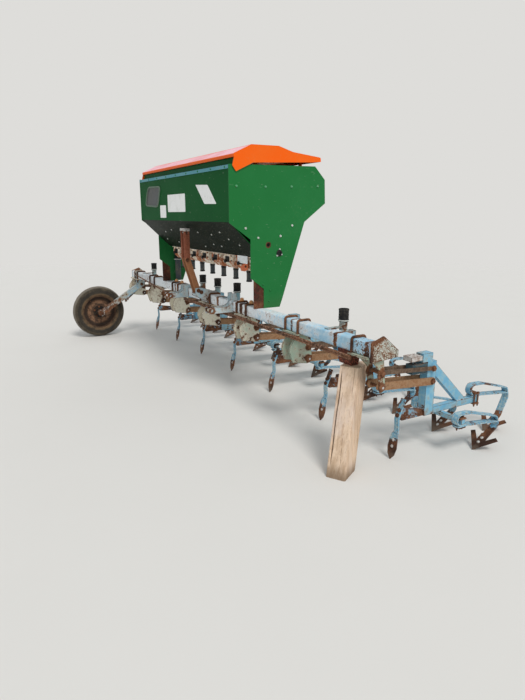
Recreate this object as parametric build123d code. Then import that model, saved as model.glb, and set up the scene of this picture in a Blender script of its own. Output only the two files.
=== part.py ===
from build123d import *
import math
import os

# Row crop cultivator with a fertiliser hopper, standing on its gauge wheel, a wooden post and its tines.
# X runs along the toolbar, -Y is the tractor's side, Z is up from the ground.
# While the pieces are made, y = 0 is the toolbar's centreline; save() moves them into the part's frame.

FIT = 0.3          # gap at pins, bolts and rods
SWING_GAP = 5.0    # gap between the lid or the wheel and what stands still

# Toolbar
BAR_LENGTH = 4400.0
BAR_SIZE = 80.0
BAR_WALL = 6.0
BAR_CORNER = 10.0
BAR_HEIGHT = 720.0
BAR_HALF = BAR_SIZE / 2
END_PLATE_THICK = 12.0

# Clamps round the toolbar
U_BOLT_D = 16.0
U_BOLT_TAIL = 34.0
U_BOLT_BEND = 16.0
NUT_D = 30.0
NUT_HEIGHT = 13.0
U_BOLT_REACH = BAR_HALF + FIT + U_BOLT_D / 2

# Hitch
HITCH_X = 50.0
LUG_SPREAD = 930.0
LUG_PLATE = 12.0
LUG_GAP = 56.0
LUG_REACH = 222.0
LUG_DROP = 22.0
LUG_NOSE = 24.0           # from the bore to the lug's edges
LUG_NECK_RUN, LUG_NECK_LOW = 34.0, 22.0   # the slope up to the neck: its length, and the height where it ends
LUG_TAB_FRONT, LUG_TAB_BACK = 6.0, -12.0  # the tab's top: its front behind the neck, and the y of its back
LUG_TOE = 6.0
HITCH_BORE_D = 28.7
TOP_PIN_D = 25.4
MAST_GAP = 52.0
MAST_PLATE = 10.0
MAST_WIDTH = 50.0
MAST_Y = -225.0
MAST_TOP = 595.0
MAST_KNEE = 350.0
# Columns: side of the mast, y of the lugs' necks in front of the toolbar, height of their tops
LUGS = [(1, -52.0, 104.0), (-1, -90.0, 72.0)]
MAST_FOOT_TOP = 100.0
MAST_FOOT_Y = -130.0
MAST_FOOT_LAP = 8.0
MAST_BORE_DROP = 32.0
STAY_D = 14.0
STAY_TIP = 20.0

# Hopper
HOPPER_X = -27.0
HOPPER_LENGTH = 1950.0
SIDE_PLATE = 5.0
TROUGH_SHEET = 4.0
SHEET_BEND = 10.0
TROUGH_FLOOR = 400.0
TROUGH_TOP = 1036.0
UPSTAND_HIGH = 48.0       # edge of the trough that stands up behind the lid's lip
UPSTAND_INSET = 46.0
RIM_THICK, RIM_HIGH = 6.0, 24.0
LID_SHEET = 4.0
HINGE_Y = 483.0
HINGE_Z = 1054.0
HINGE_PIN_D = 10.0
HINGE_BARREL_D = 22.0
HINGE_KNUCKLE = 34.0
HINGE_SPREAD = 1450.0
HINGE_FLAP = 6.0          # thickness of the flaps, and how far round the barrel they reach
HINGE_FLAP_START, HINGE_FLAP_END = 40.0, 100.0   # along the trough's upper edge
HINGE_STRAP = 11.0
LEG_BRACKET = 10.0
LEG_BRACKET_TOP = 262.0
LEG_BRACKET_LONG = 40.0

# Metering under the hopper
METER_COUNT = 8
METER_WIDTH = 170.0
METER_END_GAP = 73.0      # from a side plate to the first box
METER_PITCH = (HOPPER_LENGTH - 2 * (SIDE_PLATE + METER_END_GAP) - METER_WIDTH) / (METER_COUNT - 1)
METER_Y = 110.0
METER_DEEP = 150.0
METER_HIGH = 115.0
METER_SHAFT_D = 22.0
SHUTTER_THICK = 8.0
METER_CHAMFER = 45.0
OUTLET_WIDE = 60.0
SHUTTER_WIDE = 60.0
TUBE_D = 42.0
TUBE_WALL = 3.0
TUBE_LENGTH = 95.0
SIDE_PIPE_D = 58.0
SIDE_PIPE_LOW, SIDE_PIPE_TOP = 60.0, 268.0
SIDE_PIPE_SLEEVE = 64.0

# Tube holders on the toolbar
HOLDER_Y = 102.0
HOLDER_FLAT = 8.0
HOLDER_WIDE = 34.0
SOCKET_D = 50.0
SOCKET_LOW, SOCKET_TOP = 14.0, 96.0
BOOT_WALL = 7.0
BOOT_LOW, BOOT_TOP = 78.0, 156.0

# Gangs
GANG_INSET = 70.0         # from the toolbar's end to the middle of the last gang
GANG_PITCH = (BAR_LENGTH - 2 * GANG_INSET) / 6
PIVOT_Y = 62.0
ARM_LENGTH = 420.0
ARM_DROP_ANGLE = 4.5
ARM_THICK = 10.0
LOWER_ARM_WIDE = 46.0
UPPER_ARM_WIDE = 24.0
PIVOT_D = 18.0
UPPER_PIVOT = -146.0
LOWER_PIVOT = -226.0
EAR_THICK = 10.0
ARM_SPREAD = 64.0
HEAD_WIDE = 56.0
BASE_THICK = 10.0
BASE_DEEP = 130.0
POST_DEEP = 74.0
HEAD_HIGH = 54.0
HEAD_RISE = 96.0          # from the upper rear pivot to the top of the head
HEAD_FORWARD, HEAD_SHORT = 44.0, 36.0     # head's front before the post's, its back before the post's
FRONT_BLOCK_HIGH, FRONT_BLOCK_GAP = 60.0, 4.0
FRONT_BLOCK_FRONT = 26.0  # from the screw's middle to the block's front
SCREW_CAP_Y = 345.0
SCREW_STEM_D = 20.0
SCREW_CAP_WIDE, SCREW_CAP_DEEP, SCREW_CAP_HIGH = 68.0, 88.0, 28.0
SCREW_CAP_RISE = 18.0     # from the head's underside to the cap's
DIAGONAL_WIDE = 58.0
DIAGONAL_THICK = 30.0
DIAGONAL_RUN = 282.0
DIAGONAL_LAP, DIAGONAL_RISE = 18.0, 7.0   # into the post, and over the upper rear pivot
SEAT_TOP, SEAT_LOW = 62.0, 118.0          # how far down the front tine its seat begins and ends
SEAT_TOE = 16.0
WELD_LAP = 2.0
BEAM_TOP = -440.0
BEAM_HIGH = 40.0
BEAM_WIDE = 40.0
BEAM_END = 950.0
CROSS_BAR = 30.0
CROSS_Y = 606.0
CROSS_LENGTH = 380.0

# Tines and shares
FRONT_SHANK_THICK = 12.0
FRONT_SHANK_WIDE = 32.0
FRONT_TINE_Y = 295.0
FRONT_TINE_TOP = -350.0
FRONT_TINE_LEAN = 46.0
FRONT_TINE_BEND = -467.0
FRONT_TIP_Y = 215.0
FRONT_SHARE_PITCH = 80.0
SPRING_THICK = 10.0
SPRING_WIDE = 45.0
SPRING_FOOT = 168.0       # from a share's tip up to the bend of its spring
SPRING_LOOP = 68.0
SPRING_LOOP_BEND = 32.0
SPRING_SEAT = 80.0        # length of a spring that lies on its seat
SPRING_REACH = 312.0      # from the end of its seat to its rearmost bend
SPRING_ROUNDING = 2.5     # what that bend takes off its corner
SPRING_TIP = 110.0        # from the end of its seat to its share's tip
SHANK_BEND = 30.0
SHARE_THICK = 6.0
SHARE_PITCH = 35.0

# Gauge wheel
WHEEL_X = -2150.0
WHEEL_Y = -490.0
TYRE_D = 600.0
TYRE_WIDE = 142.0
SHOULDER_DROP, SHOULDER_INSET = 26.0, 10.0   # from the crown, and from the tyre's widest place
BEAD_INSET = 12.0
RIM_D = 382.0
RIM_WIDE = 112.0
RIM_SHEET = 8.0
RIM_WELL, RIM_WELL_FACE = 40.0, 30.0      # depth of the well, and its face from the wheel's middle
DISC_FACE, DISC_R = 14.0, 120.0           # the flat disc's face from the wheel's middle, and its radius
HUB_D = 90.0
HUB_LENGTH = 110.0
HUB_FLANGE, HUB_FLANGE_THICK = 25.0, 10.0
AXLE_D = 40.0
AXLE_END = 12.0           # beyond the hub and the arm
COLLAR_WIDER, COLLAR_GAP = 22.0, 4.0
BOSS_WIDER = 34.0
WHEEL_ARM = 56.0
WHEEL_ARM_OFFSET = 135.0
WHEEL_ARM_X = WHEEL_X + WHEEL_ARM_OFFSET
WHEEL_PIVOT_Z = -108.0
WHEEL_PAD = 12.0
WHEEL_PAD_DEEP = 50.0
WHEEL_STRAP = 12.0
ARM_PIVOT_Y = 8.0
SCREW_LUG = 12.0
SCREW_LOW, SCREW_TOP = (-196.0, -302.0), (44.0, -100.0)
SCREW_D = 16.0

# Post under the near end
POST_TOP_X, POST_TOP_Y = 1993.0, 18.0
POST_FOOT_X, POST_FOOT_Y = 2126.0, -160.0
POST_WIDE, POST_THICK = 168.0, 122.0
POST_TURN = 30.0
SADDLE_HIGH = 88.0
SADDLE_LONG = 110.0
SADDLE_X = POST_TOP_X - 88
SADDLE_TOP_HALF, SADDLE_LOW_HALF = 46.0, 28.0

EAR_FRONT = -94.0
NARROW_EAR_FRONT = PIVOT_Y - 30
# Columns: gang's place in pitches from the middle, y of its ears' front, places of its U-bolts from it
GANGS = [
    (3, NARROW_EAR_FRONT, [-90.0]),
    (2, EAR_FRONT, [75.0, -75.0]),
    (1, EAR_FRONT, [75.0, -75.0]),
    (0, EAR_FRONT, [125.0, -75.0]),
    (-1, EAR_FRONT, [75.0, -75.0]),
    (-2, EAR_FRONT, [75.0, -75.0]),
    (-3, EAR_FRONT, [70.0, 170.0]),
]
# Places of the tube holders in pitches from the middle
HOLDERS = [2.5, 0.5, -0.035, -0.5, -1.5, -2.5]

WHEEL_R = TYRE_D / 2
FRONT_REACH = WHEEL_Y - WHEEL_R
REAR_REACH = BEAM_END + SPRING_REACH + SPRING_THICK / 2 - SPRING_ROUNDING
ORIGIN_Y = (FRONT_REACH + REAR_REACH) / 2


def yz_plate(points, x, thick):
    """Flat plate from x to x + thick whose outline is points (y, height over the toolbar's centre)."""
    outline = [(y, z + BAR_HEIGHT) for y, z in points]
    return extrude(Plane.YZ.offset(x) * make_face(Polyline(*outline, close=True)), thick)


def block(x0, x1, y0, y1, z0, z1):
    """Square block between two corners, heights over the toolbar's centre."""
    centre = Pos((x0 + x1) / 2, (y0 + y1) / 2, (z0 + z1) / 2 + BAR_HEIGHT)
    return centre * Box(x1 - x0, y1 - y0, z1 - z0)


def x_bar(y, z, d, x0, x1):
    """Round bar along X, its height over the toolbar's centre."""
    return extrude(Plane.YZ.offset(x0) * Pos(y, z + BAR_HEIGHT) * Circle(d / 2), x1 - x0)


def z_bar(x, y, d, z0, z1):
    """Upright round bar, heights over the toolbar's centre."""
    return Pos(x, y, (z0 + z1) / 2 + BAR_HEIGHT) * Cylinder(d / 2, z1 - z0)


def bent_rod(points, d, bend):
    """Round rod along straight runs with one bend radius."""
    path = FilletPolyline(*[(x, y, z + BAR_HEIGHT) for x, y, z in points], radius=bend)
    return sweep(Plane(path @ 0, z_dir=path % 0) * Circle(d / 2), path=path)


def straight_rod(start, end, d):
    """Round rod from one point to another."""
    a = Vector(start[0], start[1], start[2] + BAR_HEIGHT)
    b = Vector(end[0], end[1], end[2] + BAR_HEIGHT)
    return extrude(Plane(a, z_dir=b - a) * Circle(d / 2), (b - a).length)


def yz_flat(x, start, end, wide, thick):
    """Flat bar on edge from one point (y, z) to another, centred on x."""
    run, rise = end[0] - start[0], end[1] - start[1]
    half = wide / 2 / math.hypot(run, rise)
    out_y, out_z = -rise * half, run * half
    corners = [(start[0] + out_y, start[1] + out_z), (end[0] + out_y, end[1] + out_z),
               (end[0] - out_y, end[1] - out_z), (start[0] - out_y, start[1] - out_z)]
    return yz_plate(corners, x - thick / 2, thick)


def flat_spring(x, points, thick, wide, bend):
    """Flat bar bent in the YZ plane, centred on x, with one bend radius or one for each bend."""
    path = FilletPolyline(*[(y, z + BAR_HEIGHT) for y, z in points], radius=bend)
    return extrude(Plane.YZ.offset(x - wide / 2) * trace(path, line_width=thick), wide)


def toolbar():
    """Square tube, with a plate welded on each end."""
    half = BAR_LENGTH / 2 - END_PLATE_THICK
    bore = BAR_SIZE - 2 * BAR_WALL
    section = RectangleRounded(BAR_SIZE, BAR_SIZE, BAR_CORNER)
    section -= RectangleRounded(bore, bore, BAR_CORNER - BAR_WALL)
    tube = extrude(Plane.YZ.offset(-half) * Pos(0, BAR_HEIGHT) * section, 2 * half)
    outline = [(-42, -68), (-42, 42), (46, 73), (155, -16), (155, -56)]
    near = yz_plate(outline, half, END_PLATE_THICK)
    far = yz_plate(outline, -half - END_PLATE_THICK, END_PLATE_THICK)
    save("toolbar", tube)
    save("toolbar_end_plates", near, far)


def u_bolt(x):
    """U-bolt over the toolbar with its tails down through the bracket's base."""
    r = U_BOLT_REACH
    tail = -BAR_HALF - BASE_THICK - U_BOLT_TAIL
    rod = bent_rod([(x, -r, tail), (x, -r, r), (x, r, r), (x, r, tail)], U_BOLT_D, U_BOLT_BEND)
    nut_top = -BAR_HALF - BASE_THICK
    for y in (-r, r):
        rod += z_bar(x, y, NUT_D, nut_top - NUT_HEIGHT, nut_top)
    return rod


def gang_bracket(x, front, clamps):
    """Base plate under the toolbar and the two ears welded to it that carry the arms."""
    ear_out = ARM_SPREAD / 2 + ARM_THICK + 1 + EAR_THICK
    low = min([x - ear_out] + [clamp - NUT_D / 2 for clamp in clamps])
    high = max([x + ear_out] + [clamp + NUT_D / 2 for clamp in clamps])
    base_low = -BAR_HALF - BASE_THICK
    base = block(low, high, -BASE_DEEP / 2, BASE_DEEP / 2, base_low, -BAR_HALF)
    for clamp in clamps:
        for y in (-U_BOLT_REACH, U_BOLT_REACH):
            base -= z_bar(clamp, y, U_BOLT_D + 2 * FIT, base_low - 1, -BAR_HALF + 1)
    pieces = [base]
    middle = (base_low + LOWER_PIVOT) / 2
    outline = [(-BAR_HALF + 6, base_low), (BASE_DEEP / 2, base_low), (PIVOT_Y + 28, LOWER_PIVOT - 4),
               (PIVOT_Y + 12, LOWER_PIVOT - 26), (PIVOT_Y - 12, LOWER_PIVOT - 32),
               (front + 26, LOWER_PIVOT - 12), (front, middle - 20), (front + 8, middle + 14)]
    for side in (-1, 1):
        inner = x + side * (ear_out - EAR_THICK / 2) - EAR_THICK / 2
        ear = yz_plate(outline, inner, EAR_THICK)
        for z in (UPPER_PIVOT, LOWER_PIVOT):
            ear -= x_bar(PIVOT_Y, z, PIVOT_D + 2 * FIT, inner - 1, inner + EAR_THICK + 1)
        pieces.append(ear)
    return pieces


def arm(x, pivot, wide):
    """Flat arm with an eye at each end, from its front pivot to its rear one."""
    drop = math.radians(ARM_DROP_ANGLE)
    mid_y = PIVOT_Y + ARM_LENGTH / 2 * math.cos(drop)
    mid_z = pivot - ARM_LENGTH / 2 * math.sin(drop) + BAR_HEIGHT
    flat = Pos(mid_y, mid_z) * Rot(0, 0, -ARM_DROP_ANGLE) * SlotCenterToCenter(ARM_LENGTH, wide)
    piece = extrude(Plane.YZ.offset(x - ARM_THICK / 2) * flat, ARM_THICK)
    for y, z in ((PIVOT_Y, pivot), rear_pivot(pivot)):
        piece -= x_bar(y, z, PIVOT_D + 2 * FIT, x - ARM_THICK, x + ARM_THICK)
    return piece


def rear_pivot(pivot):
    """Place (y, z) of the rear end of an arm whose front pivot is at that height."""
    drop = math.radians(ARM_DROP_ANGLE)
    return PIVOT_Y + ARM_LENGTH * math.cos(drop), pivot - ARM_LENGTH * math.sin(drop)


def pivot_bolt(x, y, z, half):
    """Bolt through two arms, with a head and a nut."""
    bolt = x_bar(y, z, PIVOT_D, x - half - NUT_HEIGHT, x + half + NUT_HEIGHT)
    bolt += x_bar(y, z, NUT_D, x + half + FIT, x + half + NUT_HEIGHT)
    bolt += x_bar(y, z, NUT_D, x - half - NUT_HEIGHT, x - half - FIT)
    return bolt


def front_seat(along):
    """Point (y, z) on the back of the front tine, that far below its top."""
    run, drop = -FRONT_TINE_LEAN, FRONT_TINE_BEND - FRONT_TINE_TOP
    length = math.hypot(run, drop)
    back = FRONT_SHANK_THICK / 2
    y = FRONT_TINE_Y + (run * along - drop * back) / length
    return y, FRONT_TINE_TOP + (drop * along + run * back) / length


def gang_frame(x):
    """Head, post, diagonal, beam, cross bar and front seat welded into one frame."""
    rear_y, upper_z = rear_pivot(UPPER_PIVOT)
    front, back = rear_y - POST_DEEP / 2, rear_y + POST_DEEP / 2
    head_top = upper_z + HEAD_RISE
    head_low = head_top - HEAD_HIGH
    beam_low = BEAM_TOP - BEAM_HIGH
    half = HEAD_WIDE / 2
    piece = block(x - half, x + half, front, back, beam_low, head_low)
    piece += block(x - half, x + half, front - HEAD_FORWARD, back - HEAD_SHORT, head_low, head_top)
    block_top = head_low - FRONT_BLOCK_GAP
    piece += block(x - half, x + half, SCREW_CAP_Y - FRONT_BLOCK_FRONT, front, block_top - FRONT_BLOCK_HIGH, block_top)
    cap_low = head_low + SCREW_CAP_RISE
    piece += z_bar(x, SCREW_CAP_Y, SCREW_STEM_D, block_top - 1, cap_low + 1)
    piece += block(x - SCREW_CAP_WIDE / 2, x + SCREW_CAP_WIDE / 2, SCREW_CAP_Y - SCREW_CAP_DEEP / 2,
                   SCREW_CAP_Y + SCREW_CAP_DEEP / 2, cap_low, cap_low + SCREW_CAP_HIGH)
    piece += block(x - BEAM_WIDE / 2, x + BEAM_WIDE / 2, front, BEAM_END, beam_low, BEAM_TOP)
    piece += yz_flat(x, (back - DIAGONAL_LAP, upper_z + DIAGONAL_RISE),
                     (back + DIAGONAL_RUN, BEAM_TOP - BEAM_HIGH / 3), DIAGONAL_WIDE, DIAGONAL_THICK)
    half = CROSS_LENGTH / 2
    piece += block(x - half, x + half, CROSS_Y - CROSS_BAR / 2, CROSS_Y + CROSS_BAR / 2,
                   beam_low - CROSS_BAR, beam_low)
    seat_top, seat_low = front_seat(SEAT_TOP), front_seat(SEAT_LOW)
    seat = [seat_top, (front + WELD_LAP, BEAM_TOP), (front + WELD_LAP, beam_low),
            (seat_low[0] + SEAT_TOE, beam_low), seat_low]
    piece += yz_plate(seat, x - FRONT_SHANK_WIDE / 2, FRONT_SHANK_WIDE)
    for pivot in (UPPER_PIVOT, LOWER_PIVOT):
        y, z = rear_pivot(pivot)
        piece -= x_bar(y, z, PIVOT_D + 2 * FIT, x - ARM_SPREAD, x + ARM_SPREAD)
    return piece


def share(x, tip_y, pitch, outline):
    """Share blade on its pitch, its tip on the ground, from its outline (across, along)."""
    slope = math.radians(pitch)
    plane = Plane((x, tip_y, 0), x_dir=(1, 0, 0), z_dir=(0, -math.sin(slope), math.cos(slope)))
    return extrude(plane * make_face(Polyline(*outline, close=True)), SHARE_THICK)


def shank_foot(tip_y, pitch, along, thick):
    """Point (y, z) on the middle of a shank that lies against the back of a share."""
    slope = math.radians(pitch)
    back = thick / 2
    y = tip_y + along * math.cos(slope) + back * math.sin(slope)
    return y, along * math.sin(slope) - back * math.cos(slope) - BAR_HEIGHT


LEAF_SHARE = [(0, 0), (26, 30), (36, 75), (30, 130), (20, 165), (-20, 165), (-30, 130), (-36, 75), (-26, 30)]
WING_SHARE = [(0, 0), (100, 125), (76, 140), (24, 82), (24, 138), (-24, 138), (-24, 82), (-76, 140), (-100, 125)]


def spring_tine(x, end, middle):
    """Spring tine that loops over its seat and back, with the leaf that stiffens it underneath.

    end is the y where its seat ends, middle the height of the length that lies there.
    """
    tip = end + SPRING_TIP
    foot = shank_foot(tip, SHARE_PITCH, SPRING_FOOT, SPRING_THICK)
    rear = end + SPRING_REACH
    path = [(end, middle), (end - SPRING_SEAT, middle), (end - SPRING_SEAT, middle + SPRING_LOOP),
            (end + 35, middle + SPRING_LOOP - 5), (rear - 22, middle - 7), (rear, middle - 75), foot,
            shank_foot(tip, SHARE_PITCH, 45, SPRING_THICK)]
    bends = [SPRING_LOOP_BEND, SPRING_LOOP_BEND] + 4 * [SHANK_BEND]
    leaf = [(end - SPRING_SEAT + 8, middle - SPRING_THICK), (end + 10, middle - SPRING_THICK),
            (rear - 12, middle - 44)]
    tine = flat_spring(x, path, SPRING_THICK, SPRING_WIDE, bends)
    tine += flat_spring(x, leaf, SPRING_THICK, SPRING_WIDE, SHANK_BEND)
    return [tine, share(x, tip, SHARE_PITCH, WING_SHARE)]


def gang_tines(x):
    """Front tine with a leaf share, and three spring tines with winged shares."""
    path = [(FRONT_TINE_Y, FRONT_TINE_TOP), (FRONT_TINE_Y - FRONT_TINE_LEAN, FRONT_TINE_BEND),
            shank_foot(FRONT_TIP_Y, FRONT_SHARE_PITCH, 190, FRONT_SHANK_THICK),
            shank_foot(FRONT_TIP_Y, FRONT_SHARE_PITCH, 50, FRONT_SHANK_THICK)]
    pieces = [flat_spring(x, path, FRONT_SHANK_THICK, FRONT_SHANK_WIDE, SHANK_BEND),
              share(x, FRONT_TIP_Y, FRONT_SHARE_PITCH, LEAF_SHARE)]
    pieces += spring_tine(x, BEAM_END, BEAM_TOP + 3 * SPRING_THICK / 2)
    side = CROSS_LENGTH / 2 - 25
    under_bar = BEAM_TOP - BEAM_HIGH - CROSS_BAR - SPRING_THICK / 2
    end = CROSS_Y - CROSS_BAR / 2 - SPRING_LOOP_BEND + SPRING_SEAT
    for offset in (-side, side):
        pieces += spring_tine(x + offset, end, under_bar)
    return pieces


def gangs():
    """Brackets, arms, frames and tines of every gang."""
    ear_half = ARM_SPREAD / 2 + ARM_THICK + 1 + EAR_THICK
    arm_half = ARM_SPREAD / 2 + ARM_THICK
    arm_x = ARM_SPREAD / 2 + ARM_THICK / 2
    bolts, brackets, lower, upper, pins = [], [], [], [], []
    for number, (steps, front, offsets) in enumerate(GANGS, 1):
        x = steps * GANG_PITCH
        clamps = [x + offset for offset in offsets]
        bolts += [u_bolt(clamp) for clamp in clamps]
        brackets += gang_bracket(x, front, clamps)
        lower += [arm(x - arm_x, LOWER_PIVOT, LOWER_ARM_WIDE), arm(x + arm_x, LOWER_PIVOT, LOWER_ARM_WIDE)]
        upper += [arm(x - arm_x, UPPER_PIVOT, UPPER_ARM_WIDE), arm(x + arm_x, UPPER_PIVOT, UPPER_ARM_WIDE)]
        for pivot in (UPPER_PIVOT, LOWER_PIVOT):
            pins.append(pivot_bolt(x, PIVOT_Y, pivot, ear_half))
            pins.append(pivot_bolt(x, *rear_pivot(pivot), arm_half))
        save(f"gang_{number}_frame", gang_frame(x))
        save(f"gang_{number}_tines", *gang_tines(x))
    save("u_bolts", *bolts)
    save("gang_brackets", *brackets)
    save("lower_arms", *lower)
    save("upper_arms", *upper)
    save("pivot_bolts", *pins)


def hitch():
    """Lower hitch lugs in pairs, and the mast with its cap and foot."""
    lugs = []
    nose, low, high = -LUG_REACH - LUG_NOSE, -LUG_DROP - LUG_NOSE, -LUG_DROP + LUG_NOSE
    for side, neck, top in LUGS:
        outline = [(nose, low), (nose, high), (neck - LUG_NECK_RUN, high), (neck, LUG_NECK_LOW),
                   (neck + LUG_TAB_FRONT, top), (LUG_TAB_BACK, top), (LUG_TOE, BAR_HALF),
                   (-BAR_HALF, BAR_HALF), (-BAR_HALF, low)]
        x = HITCH_X + side * LUG_SPREAD / 2
        for edge in (-1, 1):
            start = x + edge * (LUG_GAP + LUG_PLATE) / 2 - LUG_PLATE / 2
            plate = yz_plate(outline, start, LUG_PLATE)
            plate -= x_bar(-LUG_REACH, -LUG_DROP, HITCH_BORE_D, start - 1, start + LUG_PLATE + 1)
            lugs.append(plate)
    save("hitch_lugs", *lugs)

    w = MAST_WIDTH / 2
    toe = MAST_FOOT_Y - w
    flats = []
    outline = [(MAST_Y - w, MAST_TOP), (MAST_Y + w, MAST_TOP), (MAST_Y + w, MAST_KNEE),
               (MAST_FOOT_Y + w, BAR_HALF + MAST_PLATE), (toe, BAR_HALF + MAST_PLATE), (MAST_Y - w, MAST_KNEE)]
    for side in (-1, 1):
        start = HITCH_X + side * (MAST_GAP + MAST_PLATE) / 2 - MAST_PLATE / 2
        flat = yz_plate(outline, start, MAST_PLATE)
        flat -= x_bar(MAST_Y, MAST_TOP - MAST_BORE_DROP, TOP_PIN_D, start - 1, start + MAST_PLATE + 1)
        flats.append(flat)
    save("mast_flats", *flats)

    half = MAST_GAP / 2 + MAST_PLATE
    cap = block(HITCH_X - half, HITCH_X + half, MAST_Y - w, MAST_Y + w, MAST_TOP, MAST_TOP + MAST_PLATE)
    save("mast_cap", cap)
    front = toe - MAST_FOOT_LAP
    foot = [(front, BAR_HALF - 10), (front, MAST_FOOT_TOP), (toe + MAST_WIDTH, MAST_FOOT_TOP),
            (BAR_HALF, BAR_HALF + 14), (BAR_HALF, BAR_HALF), (-BAR_HALF, BAR_HALF), (-BAR_HALF, -30)]
    plates = yz_plate(foot, HITCH_X - half - MAST_PLATE, MAST_PLATE)
    plates += yz_plate(foot, HITCH_X + half, MAST_PLATE)
    plates += block(HITCH_X - half, HITCH_X + half, front, -BAR_HALF, BAR_HALF, BAR_HALF + MAST_PLATE)
    save("mast_foot", plates)


def stay_rods():
    """Two near rods under the toolbar's front, against the nuts, and a far rod from the far lug's nose."""
    y = -U_BOLT_REACH - NUT_D / 2 - FIT - STAY_D / 2
    z = -BAR_HALF - BASE_THICK - NUT_HEIGHT / 2
    start = HITCH_X - LUG_SPREAD / 2
    first_bolt = GANGS[0][0] * GANG_PITCH + GANGS[0][2][0]
    near = [straight_rod((start, y, z - drop), (first_bolt + STAY_TIP, y, z - drop), STAY_D)
            for drop in (0, STAY_D + FIT)]
    lug_side = start - LUG_GAP / 2 - LUG_PLATE
    lug_y = -LUG_REACH + HITCH_BORE_D / 2 + STAY_D
    bolt_x = GANGS[-1][0] * GANG_PITCH + GANGS[-1][2][-1]
    bolt_y = -U_BOLT_REACH - U_BOLT_D / 2 - STAY_D / 2 - 2 * FIT
    slope = (bolt_y - lug_y) / (bolt_x - lug_side)
    end = (bolt_x - STAY_TIP, bolt_y - STAY_TIP * slope, 8)
    save("stay_rods", *near, straight_rod((lug_side - 1, lug_y, -LUG_DROP), end, STAY_D))


SIDE_OUTLINE = [(-258, 1040), (450, 1052), (540, 961), (548, 792), (364, 658), (174, 92), (154, BAR_HALF),
                (17, BAR_HALF), (17, 184), (-92, 266), (-92, 540), (-258, 655)]
TROUGH_FRONT = -252
TROUGH_LINE = [(TROUGH_FRONT + UPSTAND_INSET, TROUGH_TOP + UPSTAND_HIGH), (TROUGH_FRONT + UPSTAND_INSET, TROUGH_TOP),
               (TROUGH_FRONT, TROUGH_TOP), (TROUGH_FRONT, 660), (METER_Y - 85, TROUGH_FLOOR),
               (METER_Y + 85, TROUGH_FLOOR), (350, 657), (536, 797), (530, 957), (446, 1046)]
LID_LINE = [(-219, 1086), (-222, 1107), (-86, 1170), (132, 1172), (250, 1138), (490, 1112), (492, 1084)]
LID_END = LID_LINE + [(424, 1078), (-74, 1055), (-205, 994), (-233, 1032)]


def bent_sheet(line, thick, x0, x1):
    """Sheet bent along a line (y, z) and running from x0 to x1."""
    path = FilletPolyline(*[(y, z + BAR_HEIGHT) for y, z in line], radius=SHEET_BEND)
    return extrude(Plane.YZ.offset(x0) * trace(path, line_width=thick), x1 - x0)


def hopper():
    """Two side plates that run down as legs, a bent trough between them and a rim along its front."""
    near_x = HOPPER_X + HOPPER_LENGTH / 2
    far_x = HOPPER_X - HOPPER_LENGTH / 2
    save("hopper_near_side", yz_plate(SIDE_OUTLINE, near_x - SIDE_PLATE, SIDE_PLATE))
    save("hopper_far_side", yz_plate(SIDE_OUTLINE, far_x, SIDE_PLATE))
    inner_far, inner_near = far_x + SIDE_PLATE, near_x - SIDE_PLATE
    save("hopper_trough", bent_sheet(TROUGH_LINE, TROUGH_SHEET, inner_far, inner_near))
    face = TROUGH_FRONT - TROUGH_SHEET / 2
    save("hopper_rim", block(inner_far, inner_near, face - RIM_THICK, face, TROUGH_TOP - RIM_HIGH, TROUGH_TOP))
    brackets = []
    outline = [(-62, BAR_HALF), (50, BAR_HALF), (30, LEG_BRACKET_TOP), (-62, LEG_BRACKET_TOP)]
    for x in (inner_near, far_x):
        bracket = yz_plate(outline, x - LEG_BRACKET, LEG_BRACKET)
        bracket += block(x - LEG_BRACKET_LONG, x, -BAR_HALF, BAR_HALF, BAR_HALF, BAR_HALF + LEG_BRACKET)
        brackets.append(bracket)
    save("leg_brackets", *brackets)


def lid():
    """Bent sheet lid with closed ends, on three hinges along the back of the hopper."""
    overhang = SWING_GAP + LID_SHEET
    start = HOPPER_X - HOPPER_LENGTH / 2 - overhang
    end = HOPPER_X + HOPPER_LENGTH / 2 + overhang
    sheet = bent_sheet(LID_LINE, LID_SHEET, start, end)
    for x in (start, end - LID_SHEET):
        sheet += yz_plate(LID_END, x, LID_SHEET)
    (y0, z0), (y1, z1) = TROUGH_LINE[-1], TROUGH_LINE[-2]
    run = math.hypot(y1 - y0, z1 - z0)
    u = Vector((y1 - y0) / run, (z1 - z0) / run)
    n = Vector(-u.Y, u.X)
    face = Vector(y0, z0) + n * (TROUGH_SHEET / 2)
    corners = [face + u * HINGE_FLAP_START, face + u * HINGE_FLAP_END, face + u * HINGE_FLAP_END + n * HINGE_FLAP,
               Vector(HINGE_Y + 8, HINGE_Z - HINGE_FLAP), Vector(HINGE_Y - 8, HINGE_Z + HINGE_FLAP)]
    half = HINGE_KNUCKLE / 2
    knuckles = []
    for x in (HOPPER_X - HINGE_SPREAD / 2, HOPPER_X, HOPPER_X + HINGE_SPREAD / 2):
        strap = x_bar(HINGE_Y, HINGE_Z, HINGE_BARREL_D, x - half, x + half)
        flange = LID_LINE[-1][0] - 1
        strap += block(x - half, x + half, flange - HINGE_STRAP, flange, HINGE_Z, LID_LINE[-2][1] - HINGE_FLAP)
        strap -= x_bar(HINGE_Y, HINGE_Z, HINGE_PIN_D + 2 * FIT, x - half - 1, x + half + 1)
        sheet += strap
        pin = x_bar(HINGE_Y, HINGE_Z, HINGE_PIN_D, x - 3 * half - 1, x + 3 * half + 1)
        for side in (-1, 1):
            middle = x + side * (HINGE_KNUCKLE + 1)
            pin += x_bar(HINGE_Y, HINGE_Z, HINGE_BARREL_D, middle - half, middle + half)
            pin += yz_plate([(c.X, c.Y) for c in corners], middle - half, HINGE_KNUCKLE)
        knuckles.append(pin)
    save("hopper_lid", sheet)
    save("lid_hinges", *knuckles)


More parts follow.
